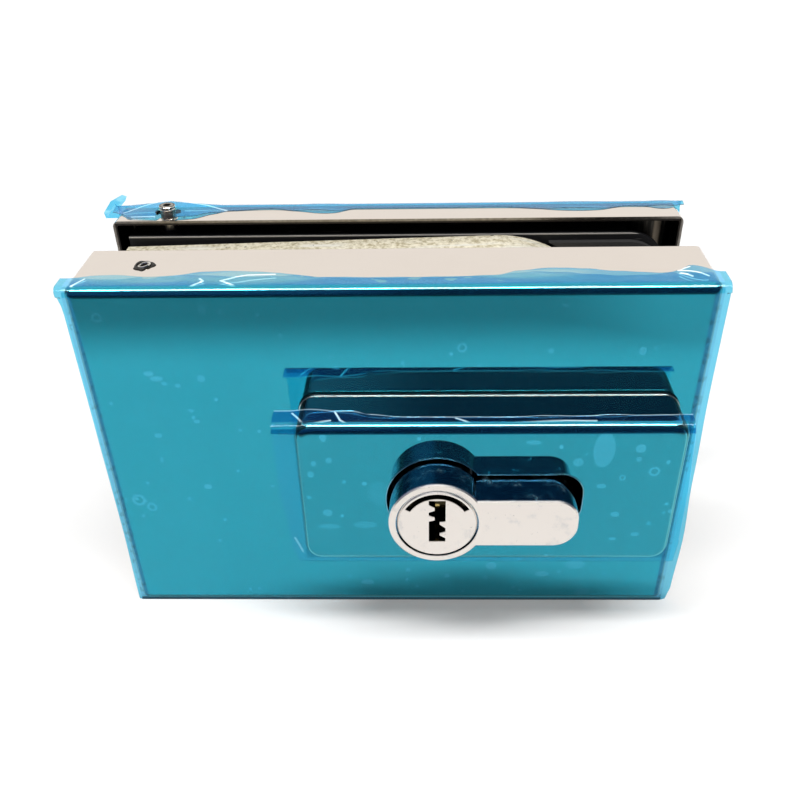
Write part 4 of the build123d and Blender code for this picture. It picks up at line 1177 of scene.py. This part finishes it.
def make_camera():
    """Camera at the photograph's place: in front, above and a little to the right, looking down."""
    yaw, pitch, roll = 0.0329, 0.6722, -0.0209
    place = Vector((6.843, -153.6, 132.525)) * MM
    focal_pixels, image_pixels, sensor = 911.75, 800.0, 36.0
    centre_across, centre_down = 408.17, 528.11
    across = Vector((math.cos(yaw), math.sin(yaw), 0.0))
    ahead = Vector((-math.sin(yaw), math.cos(yaw), 0.0))
    down = ahead * math.cos(pitch) - Vector((0.0, 0.0, 1.0)) * math.sin(pitch)
    above = across.cross(down)
    right = across * math.cos(roll) + above * math.sin(roll)
    up = above * math.cos(roll) - across * math.sin(roll)
    data = bpy.data.cameras.new("photo_camera")
    data.sensor_width = sensor
    data.lens = focal_pixels / image_pixels * sensor
    data.shift_x = (image_pixels / 2 - centre_across) / image_pixels
    data.shift_y = (centre_down - image_pixels / 2) / image_pixels
    data.clip_start = 0.005
    data.clip_end = 20.0
    camera = add_object("photo_camera", data)
    turn = Matrix((right, up, -down)).transposed().to_4x4()
    camera.matrix_world = Matrix.Translation(place) @ turn
    bpy.context.scene.camera = camera


# Colours that mirrors see, from the horizon in front (0) over the top (0.5) to the one behind (1)
sky_stops = (
    (0.0, (0.04, 0.05, 0.08)),
    (0.15, (0.022, 0.032, 0.065)),
    (0.21, (0.03, 0.045, 0.09)),
    (0.30, (0.04, 0.07, 0.10)),
    (0.42, (0.06, 0.09, 0.13)),
    (0.48, (0.93, 0.93, 0.92)),
    (0.66, (0.95, 0.94, 0.92)),
    (1.0, (0.92, 0.91, 0.89)),
)


def make_world():
    """White to the eye and grey for soft light; mirrors see the sky's colours and a glow at left."""
    world = bpy.data.worlds.new("studio")
    bpy.context.scene.world = world
    tree = Tree(world)
    across, ahead, above = tree.axes(tree.node("ShaderNodeTexCoord", output="Generated"))
    turn = tree.node("ShaderNodeMath", {"operation": "ARCTAN2"}, {0: above, 1: -ahead})
    share = turn / math.pi
    sky = tree.node("ShaderNodeValToRGB", {"stops": sky_stops}, {"Fac": share})
    glow = tree.step(across, 0.02, -0.14) * tree.band(share, (0.06, 0.12), (0.26, 0.34))
    sky = tree.tint(glow, sky, (0.16, 0.17, 0.25))
    sky = tree.tint(tree.ray("Is Diffuse Ray"), sky, (0.24, 0.24, 0.24))
    not_mirrored = tree.ray("Glossy Depth") < 0.5
    direct = tree.ray("Is Camera Ray").most(tree.ray("Is Transmission Ray") * not_mirrored)
    colour = tree.tint(direct, sky, (1.0, 1.0, 1.0))
    background = tree.node("ShaderNodeBackground", None, {"Color": colour, "Strength": 1.0})
    tree.node("ShaderNodeOutputWorld", None, {"Surface": background})


def make_floor():
    """White paper that keeps the lock's shadow; mirrors see it fall off towards the camera."""
    half, under_lock = 3.0, -0.00002
    shape = bmesh.new()
    corners = [(-half, -half), (half, -half), (half, half), (-half, half)]
    shape.faces.new([shape.verts.new((x, y, under_lock)) for x, y in corners])
    mesh = bpy.data.meshes.new("paper")
    shape.to_mesh(mesh)
    shape.free()
    floor = add_object("paper", mesh)
    material = bpy.data.materials.new("white_paper")
    tree = Tree(material)
    x, y, z = tree.axes(tree.place())
    near = tree.step(y, -150.0, -112.0)
    right = tree.step(x, 40.0, 95.0)
    falloff = 0.41 + 0.59 * near.most(right * 0.55)
    falloff = falloff * (1 - 0.85 * tree.step(y, -172.0, -230.0))
    mirrored = tree.ray("Glossy Depth") > 0.5
    level = 1 - mirrored * (1 - falloff * 0.80)
    white = tree.tint(level, (0.0, 0.0, 0.0), (0.86, 0.86, 0.86))
    diffuse = tree.node("ShaderNodeBsdfDiffuse", None, {"Color": white})
    rays = ("Is Camera Ray", "Is Transmission Ray", "Is Glossy Ray")
    shown = highest(tree.ray(fact) for fact in rays)
    far = tree.step(distance(x, y), 300.0, 900.0)
    strength = shown * level * (0.15 + 0.85 * far)
    white_glow = {"Color": (1.0, 1.0, 1.0, 1.0), "Strength": strength}
    glow = tree.node("ShaderNodeEmission", None, white_glow)
    both = tree.node("ShaderNodeAddShader", None, {0: diffuse, 1: glow})
    tree.node("ShaderNodeOutputMaterial", None, {"Surface": both})
    mesh.materials.append(material)


def make_lamp():
    """Long soft box overhead and a little in front, which looks at the lock's foot."""
    place, target = Vector((0.0, -0.61, 2.0)), Vector((0.0, 0.0, 0.0))
    data = bpy.data.lights.new("overhead_soft_box", "AREA")
    data.shape = "RECTANGLE"
    data.size = 2.4
    data.size_y = 0.40
    data.energy = 46.0
    lamp = add_object("overhead_soft_box", data)
    lamp.location = place
    lamp.rotation_mode = "QUATERNION"
    lamp.rotation_quaternion = (target - place).to_track_quat("-Z", "Y")


make_camera()
make_world()
make_floor()
make_lamp()
dress_nodes()
make_front_film()
make_housing_film()
make_rear_film()
make_housing_beads()
make_set_screw_details()

bpy.context.scene.view_settings.view_transform = "Standard"
